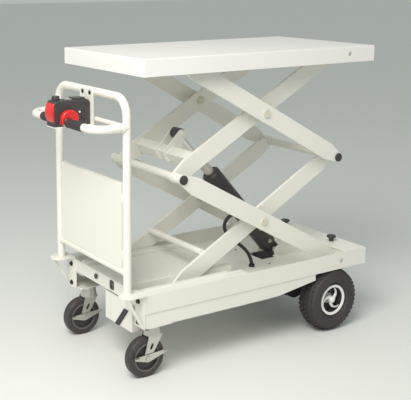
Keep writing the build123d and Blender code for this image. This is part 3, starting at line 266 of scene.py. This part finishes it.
def curve_object(name, points, radius):
    """A NURBS line with those control points, as a tube or as a bare line."""
    curve = bpy.data.curves.new(name, "CURVE")
    curve.dimensions = "3D"
    curve.bevel_depth = radius
    curve.bevel_resolution = 5
    curve.use_fill_caps = radius > 0
    spline = curve.splines.new("NURBS")
    spline.points.add(len(points) - 1)
    for point, place in zip(spline.points, points):
        point.co = (*place, 1)
    spline.order_u = 3
    spline.use_endpoint_u = True
    spline.resolution_u = 10
    return placed(name, curve)


def as_mesh(name, curve):
    """A plain mesh object in place of a curve object."""
    graph = bpy.context.evaluated_depsgraph_get()
    mesh = bpy.data.meshes.new_from_object(curve.evaluated_get(graph))
    bpy.data.objects.remove(curve)
    return placed(name, mesh)


hose_rubber = finish("hose_rubber", (0.035, 0.034, 0.034), 0.55, tint=0.25, grain=700, relief=0.12)
bare_line = as_mesh("hose_line", curve_object("hose_line", hose_route, 0))
bpy.data.objects.remove(bare_line)
hose = smooth(as_mesh("hose", curve_object("hose_tube", hose_route, hose_radius)))
hose.data.materials.clear()
hose.data.materials.append(hose_rubber)
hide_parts("hydraulic_hose")
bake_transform(hose)
dress(hose_rubber, "hose_grommet", "wiring_conduit")


# Ferrule at the hose's upper end
# A plated sleeve crimped on the hose where it screws on the adapter, with three raised rings
# and a taper towards the hose.

def turned(name, profile, start, along, steps=32):
    """A solid of revolution. The profile lists distance along the axis and radius."""
    ends = Vector(along).normalized()
    side = ends.orthogonal().normalized()
    third = ends.cross(side)
    form = bmesh.new()
    rings = []
    for distance, radius in profile:
        centre = Vector(start) + ends * distance
        if radius == 0:
            rings.append([form.verts.new(centre)])
            continue
        ring = []
        for index in range(steps):
            angle = math.tau * index / steps
            outwards = side * math.cos(angle) + third * math.sin(angle)
            ring.append(form.verts.new(centre + outwards * radius))
        rings.append(ring)
    for low, high in zip(rings, rings[1:]):
        for index in range(steps):
            after = (index + 1) % steps
            if len(low) == 1:
                form.faces.new((low[0], high[index], high[after]))
            elif len(high) == 1:
                form.faces.new((low[index], high[0], low[after]))
            else:
                form.faces.new((low[index], high[index], high[after], low[after]))
    bmesh.ops.recalc_face_normals(form, faces=form.faces)
    return formed(name, form)


def wear(made, material, smooth_angle=35):
    """One finish all over, with the edges sharper than that angle kept crisp."""
    made.data.materials.clear()
    made.data.materials.append(material)
    made.data.shade_smooth()
    made.data.set_sharp_from_angle(angle=math.radians(smooth_angle))
    return made


zinc = finish("zinc_plate", (0.70, 0.67, 0.62), 0.30, metal=0.85, tint=0.18, grain=260,
              relief=0.05, edge=0.0006)
brass = finish("brass_fitting", (0.62, 0.50, 0.27), 0.28, metal=1.0, tint=0.15, grain=300,
               relief=0.03)
ferrule_profile = ((0, 0), (0, 0.0080), (0.003, 0.0087), (0.006, 0.0075), (0.009, 0.0083),
                   (0.012, 0.0075), (0.015, 0.0083), (0.018, 0.0072), (0.020, 0.0063), (0.020, 0))
ferrule_way = Vector(hose_route[1]) - Vector(hose_route[0])
ferrule = turned("hose_ferrule", ferrule_profile, hose_route[0], ferrule_way)
wear(ferrule, zinc)
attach(ferrule, "barrel")
dress(zinc, "barrel_fittings")


# Lift cylinder
# A black painted barrel and eye, and a hard chromed rod, the smoothest surface of the part.
# The arms' rollers are turned steel.

cylinder_black = finish("cylinder_black", (0.055, 0.048, 0.050), 0.40, tint=0.2, grain=480,
                        relief=0.08)
hard_chrome = finish("hard_chrome", (0.82, 0.80, 0.78), 0.12, metal=1.0, tint=0.05, grain=1200,
                     relief=0.02, spread=0.04)
turned_steel = finish("turned_steel", (0.55, 0.55, 0.54), 0.32, metal=1.0, tint=0.12, grain=800)
dress(cylinder_black, "cylinder_barrel", "rod_eye", "drive_motor", "pump_unit", "drive_axle")
dress(hard_chrome, "piston_rod")
dress(turned_steel, "lower_rollers", "upper_rollers")


# Scissor arms, their tubes and the lift beam
# Flat steel bars and tubes in the same ivory coat as the chassis. The black plugs close the
# ends of the joint tubes, and the pins in the middle are painted a warmer cream.

cream = finish("cream_pin", (0.72, 0.69, 0.56), 0.36, tint=0.10, grain=600, edge=0.0006)
plug_black = finish("moulded_black", (0.050, 0.046, 0.048), 0.48, tint=0.15, grain=1400,
                    relief=0.15)
dress(ivory, "lower_outer_arms", "lower_inner_arms", "upper_inner_arms", "upper_outer_arms",
      "left_joint_tube", "lower_cross_tubes", "lift_beam", "table_underframe")
dress(cream, "lower_arm_pins", "upper_arm_pins")
dress(plug_black, "left_joint_caps", "right_joint_caps", "left_cover_knob", "right_cover_knob")


# Table
# The same pressing as the chassis in a slightly warmer white, with a smooth satin top that
# goods slide on.

table_white = finish("table_white", (0.88, 0.86, 0.835), 0.36, tint=0.025, grain=520,
                     relief=0.04, edge=0.0012)
dress(table_white, "table_top")


# Weld beads
# The handle's tubes are welded all round where they meet a post or a plate, and the lift beam
# where it meets its arms. A bead is a row of small ripples that one tree strings on each ring.

def weld_tree():
    """Ripples along every ring of the mesh it is given."""
    tree = bpy.data.node_groups.new("weld_ripples", "GeometryNodeTree")
    given = group_inputs(tree, (("Geometry", "NodeSocketGeometry", None),
                                ("Pitch", "NodeSocketFloat", 0.003),
                                ("Throat", "NodeSocketFloat", 0.0022),
                                ("Material", "NodeSocketMaterial", None)))
    line = tree.nodes.new("GeometryNodeMeshToCurve")
    tree.links.new(given.outputs["Geometry"], line.inputs["Mesh"])
    even = tree.nodes.new("GeometryNodeResampleCurve")
    even.mode = "LENGTH"
    tree.links.new(line.outputs["Curve"], even.inputs["Curve"])
    tree.links.new(given.outputs["Pitch"], even.inputs["Length"])
    ripple = tree.nodes.new("GeometryNodeMeshUVSphere")
    ripple.inputs["Segments"].default_value = 7
    ripple.inputs["Rings"].default_value = 5
    tree.links.new(given.outputs["Throat"], ripple.inputs["Radius"])
    tangent = tree.nodes.new("GeometryNodeInputTangent")
    turn = tree.nodes.new("FunctionNodeAlignRotationToVector")
    tree.links.new(tangent.outputs["Tangent"], turn.inputs["Vector"])
    place = spread_out(tree, given, even.outputs["Curve"], ripple.outputs["Mesh"],
                       turn.outputs["Rotation"])
    place.inputs["Scale"].default_value = (1.0, 1.0, ripple_share)
    return tree


def circle(centre, along, radius, steps=40):
    """Points on a circle about an axis."""
    ends = Vector(along).normalized()
    side = ends.orthogonal().normalized()
    third = ends.cross(side)
    angles = [math.tau * index / steps for index in range(steps)]
    return [Vector(centre) + (side * math.cos(angle) + third * math.sin(angle)) * radius
            for angle in angles]


def rings_mesh(name, rings):
    """Closed lines through lists of points."""
    corners = []
    edges = []
    for ring in rings:
        first = len(corners)
        corners += ring
        edges += [(first + index, first + (index + 1) % len(ring)) for index in range(len(ring))]
    mesh = bpy.data.meshes.new(name)
    mesh.from_pydata(corners, edges, [])
    return placed(name, mesh)


def pairs(x, y, z, along, radius):
    """The same ring on both sides of the cart."""
    return [circle((x, y, z), along, radius), circle((x, -y, z), along, radius)]


def middle_of(name, axis):
    """The middle of a node's box along one axis."""
    low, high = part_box(name)
    return (low[axis] + high[axis]) / 2


ripple_share = 0.8
weld_ripples = weld_tree()
lengthways = (1, 0, 0)
across = (0, 1, 0)
upright = (0, 0, 1)
bead_rise = 0.0006
arm_thick = 0.012
inner_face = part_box("upper_inner_arms")[1][1] - arm_thick
post_x = middle_of("handle_frame", 0)
post_y = 0.230
post_radius = 0.0135
post_face = post_y - post_radius - bead_rise
bow_z = middle_of("push_bow", 2)
bow_bead_radius = 0.0139
tab_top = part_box("handle_frame")[0][2]
tab_bead_rise = 0.001
low_bar_z, low_bar_radius = 0.371, 0.0114
high_bar_z, high_bar_radius = 0.848, 0.0079
beam_reach = 0.030
beam_x, beam_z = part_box("lift_beam")[0][0] + beam_reach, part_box("lift_beam")[0][2] + beam_reach
beam_turn = math.radians(28.96)
beam_half = 0.0196
corner_turns = [beam_turn + math.pi * (index / 2 + 0.25) for index in range(4)]
corner_reach = math.sqrt(2) * beam_half
beam_corners = [(beam_x + corner_reach * math.cos(turn), beam_z + corner_reach * math.sin(turn))
                for turn in corner_turns]
weld_sets = {
    "chassis": pairs(post_x, post_y, tab_top + tab_bead_rise, upright, post_radius + bead_rise)
    + pairs(post_x - post_radius - bead_rise, post_y, bow_z, lengthways, bow_bead_radius)
    + pairs(post_x, post_face, low_bar_z, across, low_bar_radius)
    + pairs(post_x, post_face, high_bar_z, across, high_bar_radius),
    "upper_inner": [[Vector((x, y, z)) for x, z in beam_corners]
                    for y in (-inner_face + bead_rise, inner_face - bead_rise)],
}
bead_sizes = {"Pitch": 0.0026, "Throat": 0.0021}
for body, rings in weld_sets.items():
    bead = grow(rings_mesh(f"{body}_welds", rings), weld_ripples, bead_sizes, ivory)
    smooth(bead)
    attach(bead, body)


# Handle frame, its panel and the push bow
# Bent steel tube and a flanged sheet, powder coated with the rest. Two black button heads fix
# the hanger plate of the control head to the top tube.

tube_ivory = finish("tube_powder_coat", (0.86, 0.84, 0.775), 0.36, tint=0.03, grain=520)
dress(tube_ivory, "handle_frame", "handle_panel", "push_bow", "handle_brackets", "head_hanger")
dress(black_oxide, "frame_bolts")
hanger_sheet = 0.003
hanger_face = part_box("head_hanger")[1][0] - hanger_sheet
hanger_y, hanger_z, hanger_bolt_radius = 0.024, 0.9355, 0.0075
hanger_places = [(hanger_face, y, hanger_z) for y in (-hanger_y, hanger_y)]
hanger_bolts = grow(points_mesh("hanger_bolts", hanger_places), button_heads,
                    {"Radius": hanger_bolt_radius, "Facing": (-1.0, 0.0, 0.0)}, black_oxide)
smooth(hanger_bolts)
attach(hanger_bolts, "chassis")


# Rubber grips on the bow
# Each is a moulded sleeve with shallow rings round it and a thicker collar at the open end,
# pushed on the bow on either side of the control head.

grip_rubber = finish("grip_rubber", (0.048, 0.044, 0.044), 0.60, tint=0.25, grain=900, relief=0.2)
grip_low, grip_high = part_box("push_bow_grips")
bow_x = (grip_low[0] + grip_high[0]) / 2
grip_radius, ring_radius, collar_radius = 0.0147, 0.0153, 0.0155
grip_ring_pitch = 0.006
grip_plain = 0.008
near_start, far_start = 0.0535, 0.0283


def grip_profile(length):
    """Rings between a collar and a rounded end."""
    profile = [(0, 0.0136), (0, 0.0150), (0.0015, collar_radius), (0.005, collar_radius),
               (0.006, grip_radius)]
    place = grip_plain
    while place < length - grip_plain:
        profile += [(place, grip_radius), (place + grip_ring_pitch * 0.25, ring_radius),
                    (place + grip_ring_pitch * 0.6, ring_radius),
                    (place + grip_ring_pitch * 0.85, grip_radius)]
        place += grip_ring_pitch
    return profile + [(length - 0.003, 0.0150), (length - 0.0005, 0.0146), (length, 0.0136)]


def joined(name, pieces):
    """Several meshes as one object."""
    form = bmesh.new()
    for piece in pieces:
        form.from_mesh(piece.data)
        bpy.data.objects.remove(piece)
    return formed(name, form)


near_grip = turned("near_grip", grip_profile(-near_start - grip_low[1]),
                   (bow_x, -near_start, bow_z), (0, -1, 0))
far_grip = turned("far_grip", grip_profile(grip_high[1] - far_start),
                  (bow_x, far_start, bow_z), across)
grips = joined("grips", [near_grip, far_grip])
wear(grips, grip_rubber, smooth_angle=50)
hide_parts("push_bow_grips")
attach(grips, "chassis")


# Control head
# A moulded black housing clamped on the bow, with a knob, a raised display and a plated key
# plate on top, whose pale colour is also a painted highlight along the head's top. The lift switch
# is on the near side, with a pale round key beside it.

head_black = finish("head_black", (0.055, 0.050, 0.054), 0.42, tint=0.15, grain=1100,
                    relief=0.18, edge=0.0015)
pale_print = finish("pale_button", (0.70, 0.67, 0.60), 0.35, tint=0.08)
dress(head_black, "control_head", "speed_knob", "lift_rocker", "power_button", "charging_socket")
head_low, head_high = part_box("control_head")


def rounded_block(name, low, high, radius, segments=3):
    """A block with every edge rounded."""
    form = bmesh.new()
    bmesh.ops.create_cube(form, size=1)
    size = Vector(high) - Vector(low)
    middle = (Vector(high) + Vector(low)) / 2
    stretch = Matrix.Translation(middle) @ Matrix.Diagonal((*size, 1))
    bmesh.ops.transform(form, matrix=stretch, verts=form.verts)
    bmesh.ops.bevel(form, geom=form.edges[:], offset=radius, segments=segments,
                    affect="EDGES", profile=0.5)
    bmesh.ops.recalc_face_normals(form, faces=form.faces)
    return formed(name, form)


display_start, display_end, display_half = 0.056, 0.014, 0.020
display_sunk, display_rise, display_round = 0.002, 0.0055, 0.0024
display = rounded_block(
    "head_display", (head_high[0] - display_start, -display_half, head_high[2] - display_sunk),
    (head_high[0] - display_end, display_half, head_high[2] + display_rise), display_round)
wear(display, head_black)
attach(display, "chassis")
plate_start, plate_end, plate_half = 0.082, 0.060, 0.014
plate_sunk, plate_rise, plate_round = 0.001, 0.0025, 0.001
# The pale plated strip on top is partly the key plate and partly a painted highlight along the
# head's top.
plated_key_and_highlight = rounded_block(
    "head_plated_key_and_highlight", (head_high[0] - plate_start, -plate_half, head_high[2] - plate_sunk),
    (head_high[0] - plate_end, plate_half, head_high[2] + plate_rise), plate_round)
wear(plated_key_and_highlight, zinc)
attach(plated_key_and_highlight, "chassis")

rocker_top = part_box("lift_rocker")[1][2]
key_aside, key_drop = 0.012, 0.004
key_profile = ((-0.002, 0), (-0.002, 0.0040), (0.0004, 0.0040), (0.0012, 0.0030), (0.0014, 0))
key_place = (middle_of("lift_rocker", 0) - key_aside, head_low[1], rocker_top - key_drop)
key = turned("raise_key", key_profile, key_place, (0, -1, 0), steps=20)
wear(key, pale_print)
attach(key, "chassis")


# Red belly button and thumb lever
# Both are glossy moulded plastic. The button is crowned towards the user and padded at its
# edges, and the lever is a crescent on a ring that turns round the bow.

gloss_red = finish("gloss_red", (0.76, 0.022, 0.020), 0.26, tint=0.10, grain=300,
                   relief=0.03, coat=0.3)
pad_low, pad_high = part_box("reverse_button")


def extruded(name, outline, y_low, y_high, round_off, segments):
    """A plate cut to an outline in X and Z, with its rims rounded."""
    form = bmesh.new()
    front = [form.verts.new((x, y_low, z)) for x, z in outline]
    back = [form.verts.new((x, y_high, z)) for x, z in outline]
    form.faces.new(front)
    form.faces.new(back[::-1])
    rims = []
    count = len(outline)
    for index in range(count):
        after = (index + 1) % count
        form.faces.new((front[after], front[index], back[index], back[after]))
    for edge in form.edges:
        first, last = edge.verts
        if first.co.y == last.co.y:
            rims.append(edge)
    bmesh.ops.recalc_face_normals(form, faces=form.faces)
    bmesh.ops.bevel(form, geom=rims, offset=round_off, segments=segments, affect="EDGES",
                    profile=0.5)
    bmesh.ops.triangulate(form, faces=[face for face in form.faces if len(face.verts) > 4])
    return formed(name, form)


def arc(x, z, radius, start, end, steps):
    """Points on a circle, in degrees from +X towards +Z."""
    turns = [math.radians(start + (end - start) * index / steps) for index in range(steps + 1)]
    return [(x + radius * math.cos(turn), z + radius * math.sin(turn)) for turn in turns]


pad_height = pad_high[2] - pad_low[2]
pad_bulge, pad_round = 0.009, 0.0045
pad_radius = (pad_height ** 2 / 4 + pad_bulge ** 2) / (2 * pad_bulge)
pad_sweep = math.degrees(math.asin(pad_height / 2 / pad_radius))
pad_outline = arc(pad_low[0] + pad_radius, middle_of("reverse_button", 2), pad_radius,
                  start=180 + pad_sweep, end=180 - pad_sweep, steps=16)
pad_outline += [(pad_high[0], pad_high[2]), (pad_high[0], pad_low[2])]
pad = extruded("belly_pad", pad_outline, pad_low[1], pad_high[1], pad_round, segments=5)
wear(pad, gloss_red, smooth_angle=50)
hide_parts("reverse_button")
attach(pad, "reverse_switch")

lever_low, lever_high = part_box("throttle_lever")
lever_aside, lever_up = 0.011, 0.010
lever_reach, lever_bore, lever_round = 0.031, 0.0145, 0.0050
lever_wider, lever_gap = 0.0080, 0.0004
crescent = arc(bow_x + lever_aside, bow_z + lever_up, lever_reach, start=214, end=-16, steps=28)
crescent += arc(bow_x, bow_z, lever_bore, start=-6, end=206, steps=20)
thumb = extruded("thumb_crescent", crescent, lever_low[1] - lever_wider,
                 lever_high[1] - lever_gap, lever_round, segments=4)
wear(thumb, gloss_red, smooth_angle=50)
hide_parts("throttle_lever")
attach(thumb, "throttle")


# Contacts in the charging socket
# Three plated pins stand in the recess, two for the charge and one for the earth.

socket_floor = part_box("charging_socket")[1][0]
socket_y, socket_z = middle_of("charging_socket", 1), middle_of("charging_socket", 2)
pin_aside, pin_drop, pin_rise = 0.003, 0.002, 0.003
pin_places = ((socket_y - pin_aside, socket_z - pin_drop),
              (socket_y + pin_aside, socket_z - pin_drop), (socket_y, socket_z + pin_rise))
contact_profile = ((0, 0), (0, 0.0011), (0.0036, 0.0011), (0.0042, 0.0006), (0.0044, 0))
contacts = joined("socket_contacts", [turned("contact", contact_profile, (socket_floor, y, z),
                                             (-1, 0, 0), steps=12) for y, z in pin_places])
wear(contacts, brass)
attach(contacts, "chassis")


# Drive wheels
# A pneumatic tyre with a round section and four rows of tread blocks, on a white cast rim with
# a narrow hub cap. Three curved bright spokes stand in front of a dark drum.

tyre_rubber = finish("tyre_rubber", (0.052, 0.044, 0.044), 0.62, tint=0.3, grain=420, relief=0.15)
rim_white = finish("rim_white", (0.93, 0.93, 0.91), 0.28, tint=0.05, grain=500, relief=0.03)
spoke_silver = finish("spoke_silver", (0.90, 0.89, 0.86), 0.25, metal=0.25, tint=0.15,
                      grain=300, relief=0.04)
wheel_x = middle_of("left_drive_tyre", 0)
wheel_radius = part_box("left_drive_tyre")[1][2] / 2
tyre_half = 0.043
tyre_middle = 0.0865
tyre_squareness = 0.8
tyre_start, tyre_sweep, tyre_steps = 212, 244, 24
bead_half, bead_radius = 0.022, 0.0572
wall_half, wall_radius = 0.0225, 0.060
tread_height, tread_count = 0.0030, 40
block_along, block_across, block_deep = 0.0115, 0.0135, tread_height * 1.8
outer_row, outer_drop = 0.026, 0.0085
inner_row, inner_drop = 0.009, 0.0022
tread_rows = ((-outer_row, outer_drop, 0), (-inner_row, inner_drop, 0.5),
              (inner_row, inner_drop, 0), (outer_row, outer_drop, 0.5))
ring_profile = ((-0.022, 0.0485), (-0.022, 0.0555), (-0.0205, 0.0568), (0.0245, 0.0568),
                (0.0300, 0.0585), (0.0320, 0.0575), (0.0325, 0.0530), (0.0315, 0.0490),
                (0.0290, 0.0482), (-0.0205, 0.0480), (-0.022, 0.0485))
hub_profile = ((-0.0215, 0.0095), (-0.0215, 0.0200), (0.004, 0.0200), (0.0120, 0.0130),
               (0.0300, 0.0115), (0.0330, 0.0080), (0.0337, 0))
drum_profile = ((-0.004, 0.0479), (0.0280, 0.0479), (0.0280, 0.0466), (0.001, 0.0462),
                (0.001, 0.0202), (-0.004, 0.0202), (-0.004, 0.0479))
spoke_start, spoke_length, spoke_sweep, spoke_bend = 0.010, 0.0385, 62, 1.4
spoke_wide, spoke_taper, spoke_thick = 0.0085, 0.0040, 0.0055
spoke_steps, spoke_sides, spoke_out, first_spoke = 12, 6, 0.021, 20


def tyre_profile():
    """The section from bead to bead, in distance across and radius."""
    points = [(-bead_half, bead_radius), (-wall_half, wall_radius)]
    reach = wheel_radius - tread_height - tyre_middle
    for index in range(tyre_steps + 1):
        angle = math.radians(tyre_start - tyre_sweep * index / tyre_steps)
        shares = [math.copysign(abs(share) ** tyre_squareness, share)
                  for share in (math.cos(angle), math.sin(angle))]
        points.append((tyre_half * shares[0], tyre_middle + reach * shares[1]))
    return points + [(wall_half, wall_radius), (bead_half, bead_radius), (-bead_half, bead_radius)]


def tread_tree():
    """Blocks along every ring round an axle, each with its back to the axle."""
    tree = bpy.data.node_groups.new("tread_blocks", "GeometryNodeTree")
    given = group_inputs(tree, (("Geometry", "NodeSocketGeometry", None),
                                ("Block", "NodeSocketVector", (0.01, 0.01, 0.004)),
                                ("Count", "NodeSocketInt", tread_count),
                                ("Middle", "NodeSocketVector", (0.0, 0.0, 0.0)),
                                ("Material", "NodeSocketMaterial", None)))
    line = tree.nodes.new("GeometryNodeMeshToCurve")
    tree.links.new(given.outputs["Geometry"], line.inputs["Mesh"])
    even = tree.nodes.new("GeometryNodeResampleCurve")
    tree.links.new(line.outputs["Curve"], even.inputs["Curve"])
    tree.links.new(given.outputs["Count"], even.inputs["Count"])
    tangent = tree.nodes.new("GeometryNodeInputTangent")
    ahead = tree.nodes.new("FunctionNodeAlignRotationToVector")
    ahead.axis = "X"
    tree.links.new(tangent.outputs["Tangent"], ahead.inputs["Vector"])
    place = tree.nodes.new("GeometryNodeInputPosition")
    away = tree.nodes.new("ShaderNodeVectorMath")
    away.operation = "SUBTRACT"
    tree.links.new(place.outputs["Position"], away.inputs[0])
    tree.links.new(given.outputs["Middle"], away.inputs[1])
    outwards = tree.nodes.new("FunctionNodeAlignRotationToVector")
    outwards.axis = "Z"
    outwards.pivot_axis = "X"
    tree.links.new(ahead.outputs["Rotation"], outwards.inputs["Rotation"])
    tree.links.new(away.outputs["Vector"], outwards.inputs["Vector"])
    block = tree.nodes.new("GeometryNodeMeshCube")
    tree.links.new(given.outputs["Block"], block.inputs["Size"])
    spread_out(tree, given, even.outputs["Curve"], block.outputs["Mesh"],
               outwards.outputs["Rotation"])
    return tree


def spoke(turn, centre_y, outwards):
    """One curved blade from the hub to the rim, thick at the hub and half round in section."""
    form = bmesh.new()
    rows = []
    corners = spoke_sides + 1
    for step in range(spoke_steps + 1):
        share = step / spoke_steps
        radius = spoke_start + share * spoke_length
        degrees = turn + spoke_sweep * share ** spoke_bend
        angle, lead = math.radians(degrees), math.radians(degrees + 90)
        middle = Vector((wheel_x + radius * math.cos(angle), centre_y,
                         wheel_radius + radius * math.sin(angle)))
        wide = spoke_wide - spoke_taper * share
        row = []
        for side in range(corners):
            swing = math.pi * side / spoke_sides
            sideways = Vector((math.cos(lead), 0, math.sin(lead))) * (wide * math.cos(swing))
            forwards = Vector((0, outwards * spoke_thick * math.sin(swing), 0))
            row.append(form.verts.new(middle + sideways + forwards))
        rows.append(row)
    for low, high in zip(rows, rows[1:]):
        for index in range(corners):
            after = (index + 1) % corners
            form.faces.new((low[index], low[after], high[after], high[index]))
    form.faces.new(rows[0])
    form.faces.new(rows[-1][::-1])
    bmesh.ops.recalc_face_normals(form, faces=form.faces)
    return formed("spoke", form)


tread_blocks = tread_tree()
for side, outwards in (("left", 1), ("right", -1)):
    wheel_y = middle_of(f"{side}_drive_tyre", 1)
    hub = (wheel_x, wheel_y, wheel_radius)
    facing = (0, outwards, 0)
    tyre = turned(f"{side}_tyre", tyre_profile(), hub, across, steps=72)
    wear(tyre, tyre_rubber, smooth_angle=60)
    for row, drop, start in tread_rows:
        middle = Vector((wheel_x, wheel_y + row, wheel_radius))
        shift = Matrix.Rotation(math.tau * start / tread_count, 4, "Y")
        turn = Matrix.Translation(middle) @ shift @ Matrix.Translation(-middle)
        line = [turn @ corner
                for corner in circle(middle, across, wheel_radius - drop, steps=96)]
        blocks = grow(rings_mesh(f"{side}_tread_{row}", [line]), tread_blocks,
                      {"Block": (block_along, block_across, block_deep), "Count": tread_count,
                       "Middle": middle}, tyre_rubber)
        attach(blocks, f"{side}_drive_wheel")
    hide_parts(f"{side}_drive_tyre")
    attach(tyre, f"{side}_drive_wheel")

    ring = turned("ring", ring_profile, hub, facing, steps=64)
    core = turned("core", hub_profile, hub, facing, steps=40)
    rim = joined(f"{side}_rim", [ring, core])
    drum = turned(f"{side}_drum", drum_profile, hub, facing, steps=64)
    wear(drum, cylinder_black, smooth_angle=40)
    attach(drum, f"{side}_drive_wheel")
    wear(rim, rim_white, smooth_angle=40)
    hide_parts(f"{side}_drive_rim")
    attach(rim, f"{side}_drive_wheel")
    blades = joined(f"{side}_spokes", [spoke(first_spoke + 120 * index,
                                             wheel_y + outwards * spoke_out, outwards)
                                       for index in range(3)])
    wear(blades, spoke_silver, smooth_angle=50)
    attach(blades, f"{side}_drive_wheel")


# Casters
# Black rubber wheels in pressed and zinc plated forks, with a zinc plated brake pedal. A grey
# band on each side of a wheel shows where its core meets the tread, and is also a painted
# highlight on the tyre's side there.

caster_rubber = finish("caster_rubber", (0.060, 0.050, 0.050), 0.50, tint=0.3, grain=420,
                       relief=0.1)
# A lighter grey ring on each tyre side: partly the real ring where core meets tread, partly a
# painted highlight on the tyre.
core_ring_and_highlight_grey = finish("core_ring_and_highlight_grey", (0.16, 0.14, 0.125), 0.42, tint=0.2, grain=500)
band_profile = ((0.0160, 0.0435), (0.0182, 0.0440), (0.0186, 0.0465), (0.0182, 0.0485),
                (0.0160, 0.0490), (0.0160, 0.0435))
for side in ("left", "right"):
    dress(caster_rubber, f"{side}_caster_wheel")
    centre = [middle_of(f"{side}_caster_wheel", axis) for axis in range(3)]
    bands = [turned("band", band_profile, centre, (0, facing, 0), steps=56) for facing in (-1, 1)]
    bands = joined(f"{side}_caster_bands", bands)
    wear(bands, core_ring_and_highlight_grey)
    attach(bands, f"{side}_caster_roller")
    dress(zinc, f"{side}_caster_fork", f"{side}_caster_brake")
dress(head_black, "batteries")


# Floor, light and camera
# A pale studio floor, one broad lamp from the handle end and an even sky, and the camera that
# was fitted to the cart's straight edges.

floor_mesh = bpy.data.meshes.new("floor")
floor_half = 30
floor_corners = [(-floor_half, -floor_half, 0), (floor_half, -floor_half, 0),
                 (floor_half, floor_half, 0), (-floor_half, floor_half, 0)]
floor_mesh.from_pydata(floor_corners, [], [(0, 1, 2, 3)])
floor = placed("floor", floor_mesh)
pale = bpy.data.materials.new("pale_floor")
pale.use_nodes = True
pale_shader = pale.node_tree.nodes["Principled BSDF"]
pale_shader.inputs["Base Color"].default_value = (0.80, 0.81, 0.79, 1)
pale_shader.inputs["Roughness"].default_value = 0.9
floor_mesh.materials.append(pale)

sky = bpy.data.worlds.new("studio")
bpy.context.scene.world = sky
sky.use_nodes = True
backdrop = sky.node_tree.nodes["Background"]
backdrop.inputs["Color"].default_value = (0.91, 0.97, 0.93, 1)
backdrop.inputs["Strength"].default_value = 0.5

lamp = bpy.data.lights.new("window", "AREA")
lamp.energy = 112
lamp.size = 1.8
lamp.color = (1.0, 0.965, 0.92)
window = placed("window", lamp)
window.location = (-2.1, -1.5, 2.9)
lit_place = Vector((0, 0, 0.7))
window.rotation_euler = (lit_place - window.location).to_track_quat("-Z", "Y").to_euler()

photo_width, photo_height = 411, 400
focal_pixels = 917
sight_x, sight_y = 146.3, 130.5
view_data = bpy.data.cameras.new("camera")
view_data.sensor_width = 36
view_data.lens = focal_pixels * view_data.sensor_width / photo_width
view_data.shift_x = (photo_width / 2 - sight_x) / photo_width
view_data.shift_y = (sight_y - photo_height / 2) / photo_width
view_data.clip_end = 100
camera_pitch, camera_turn = 10.02, -32.58
camera = placed("camera", view_data)
camera.location = (-1.9074, -2.637, 1.3355)
camera.rotation_euler = (math.radians(90 - camera_pitch), 0, math.radians(camera_turn))
bpy.context.scene.camera = camera
bpy.context.scene.view_settings.view_transform = "Standard"
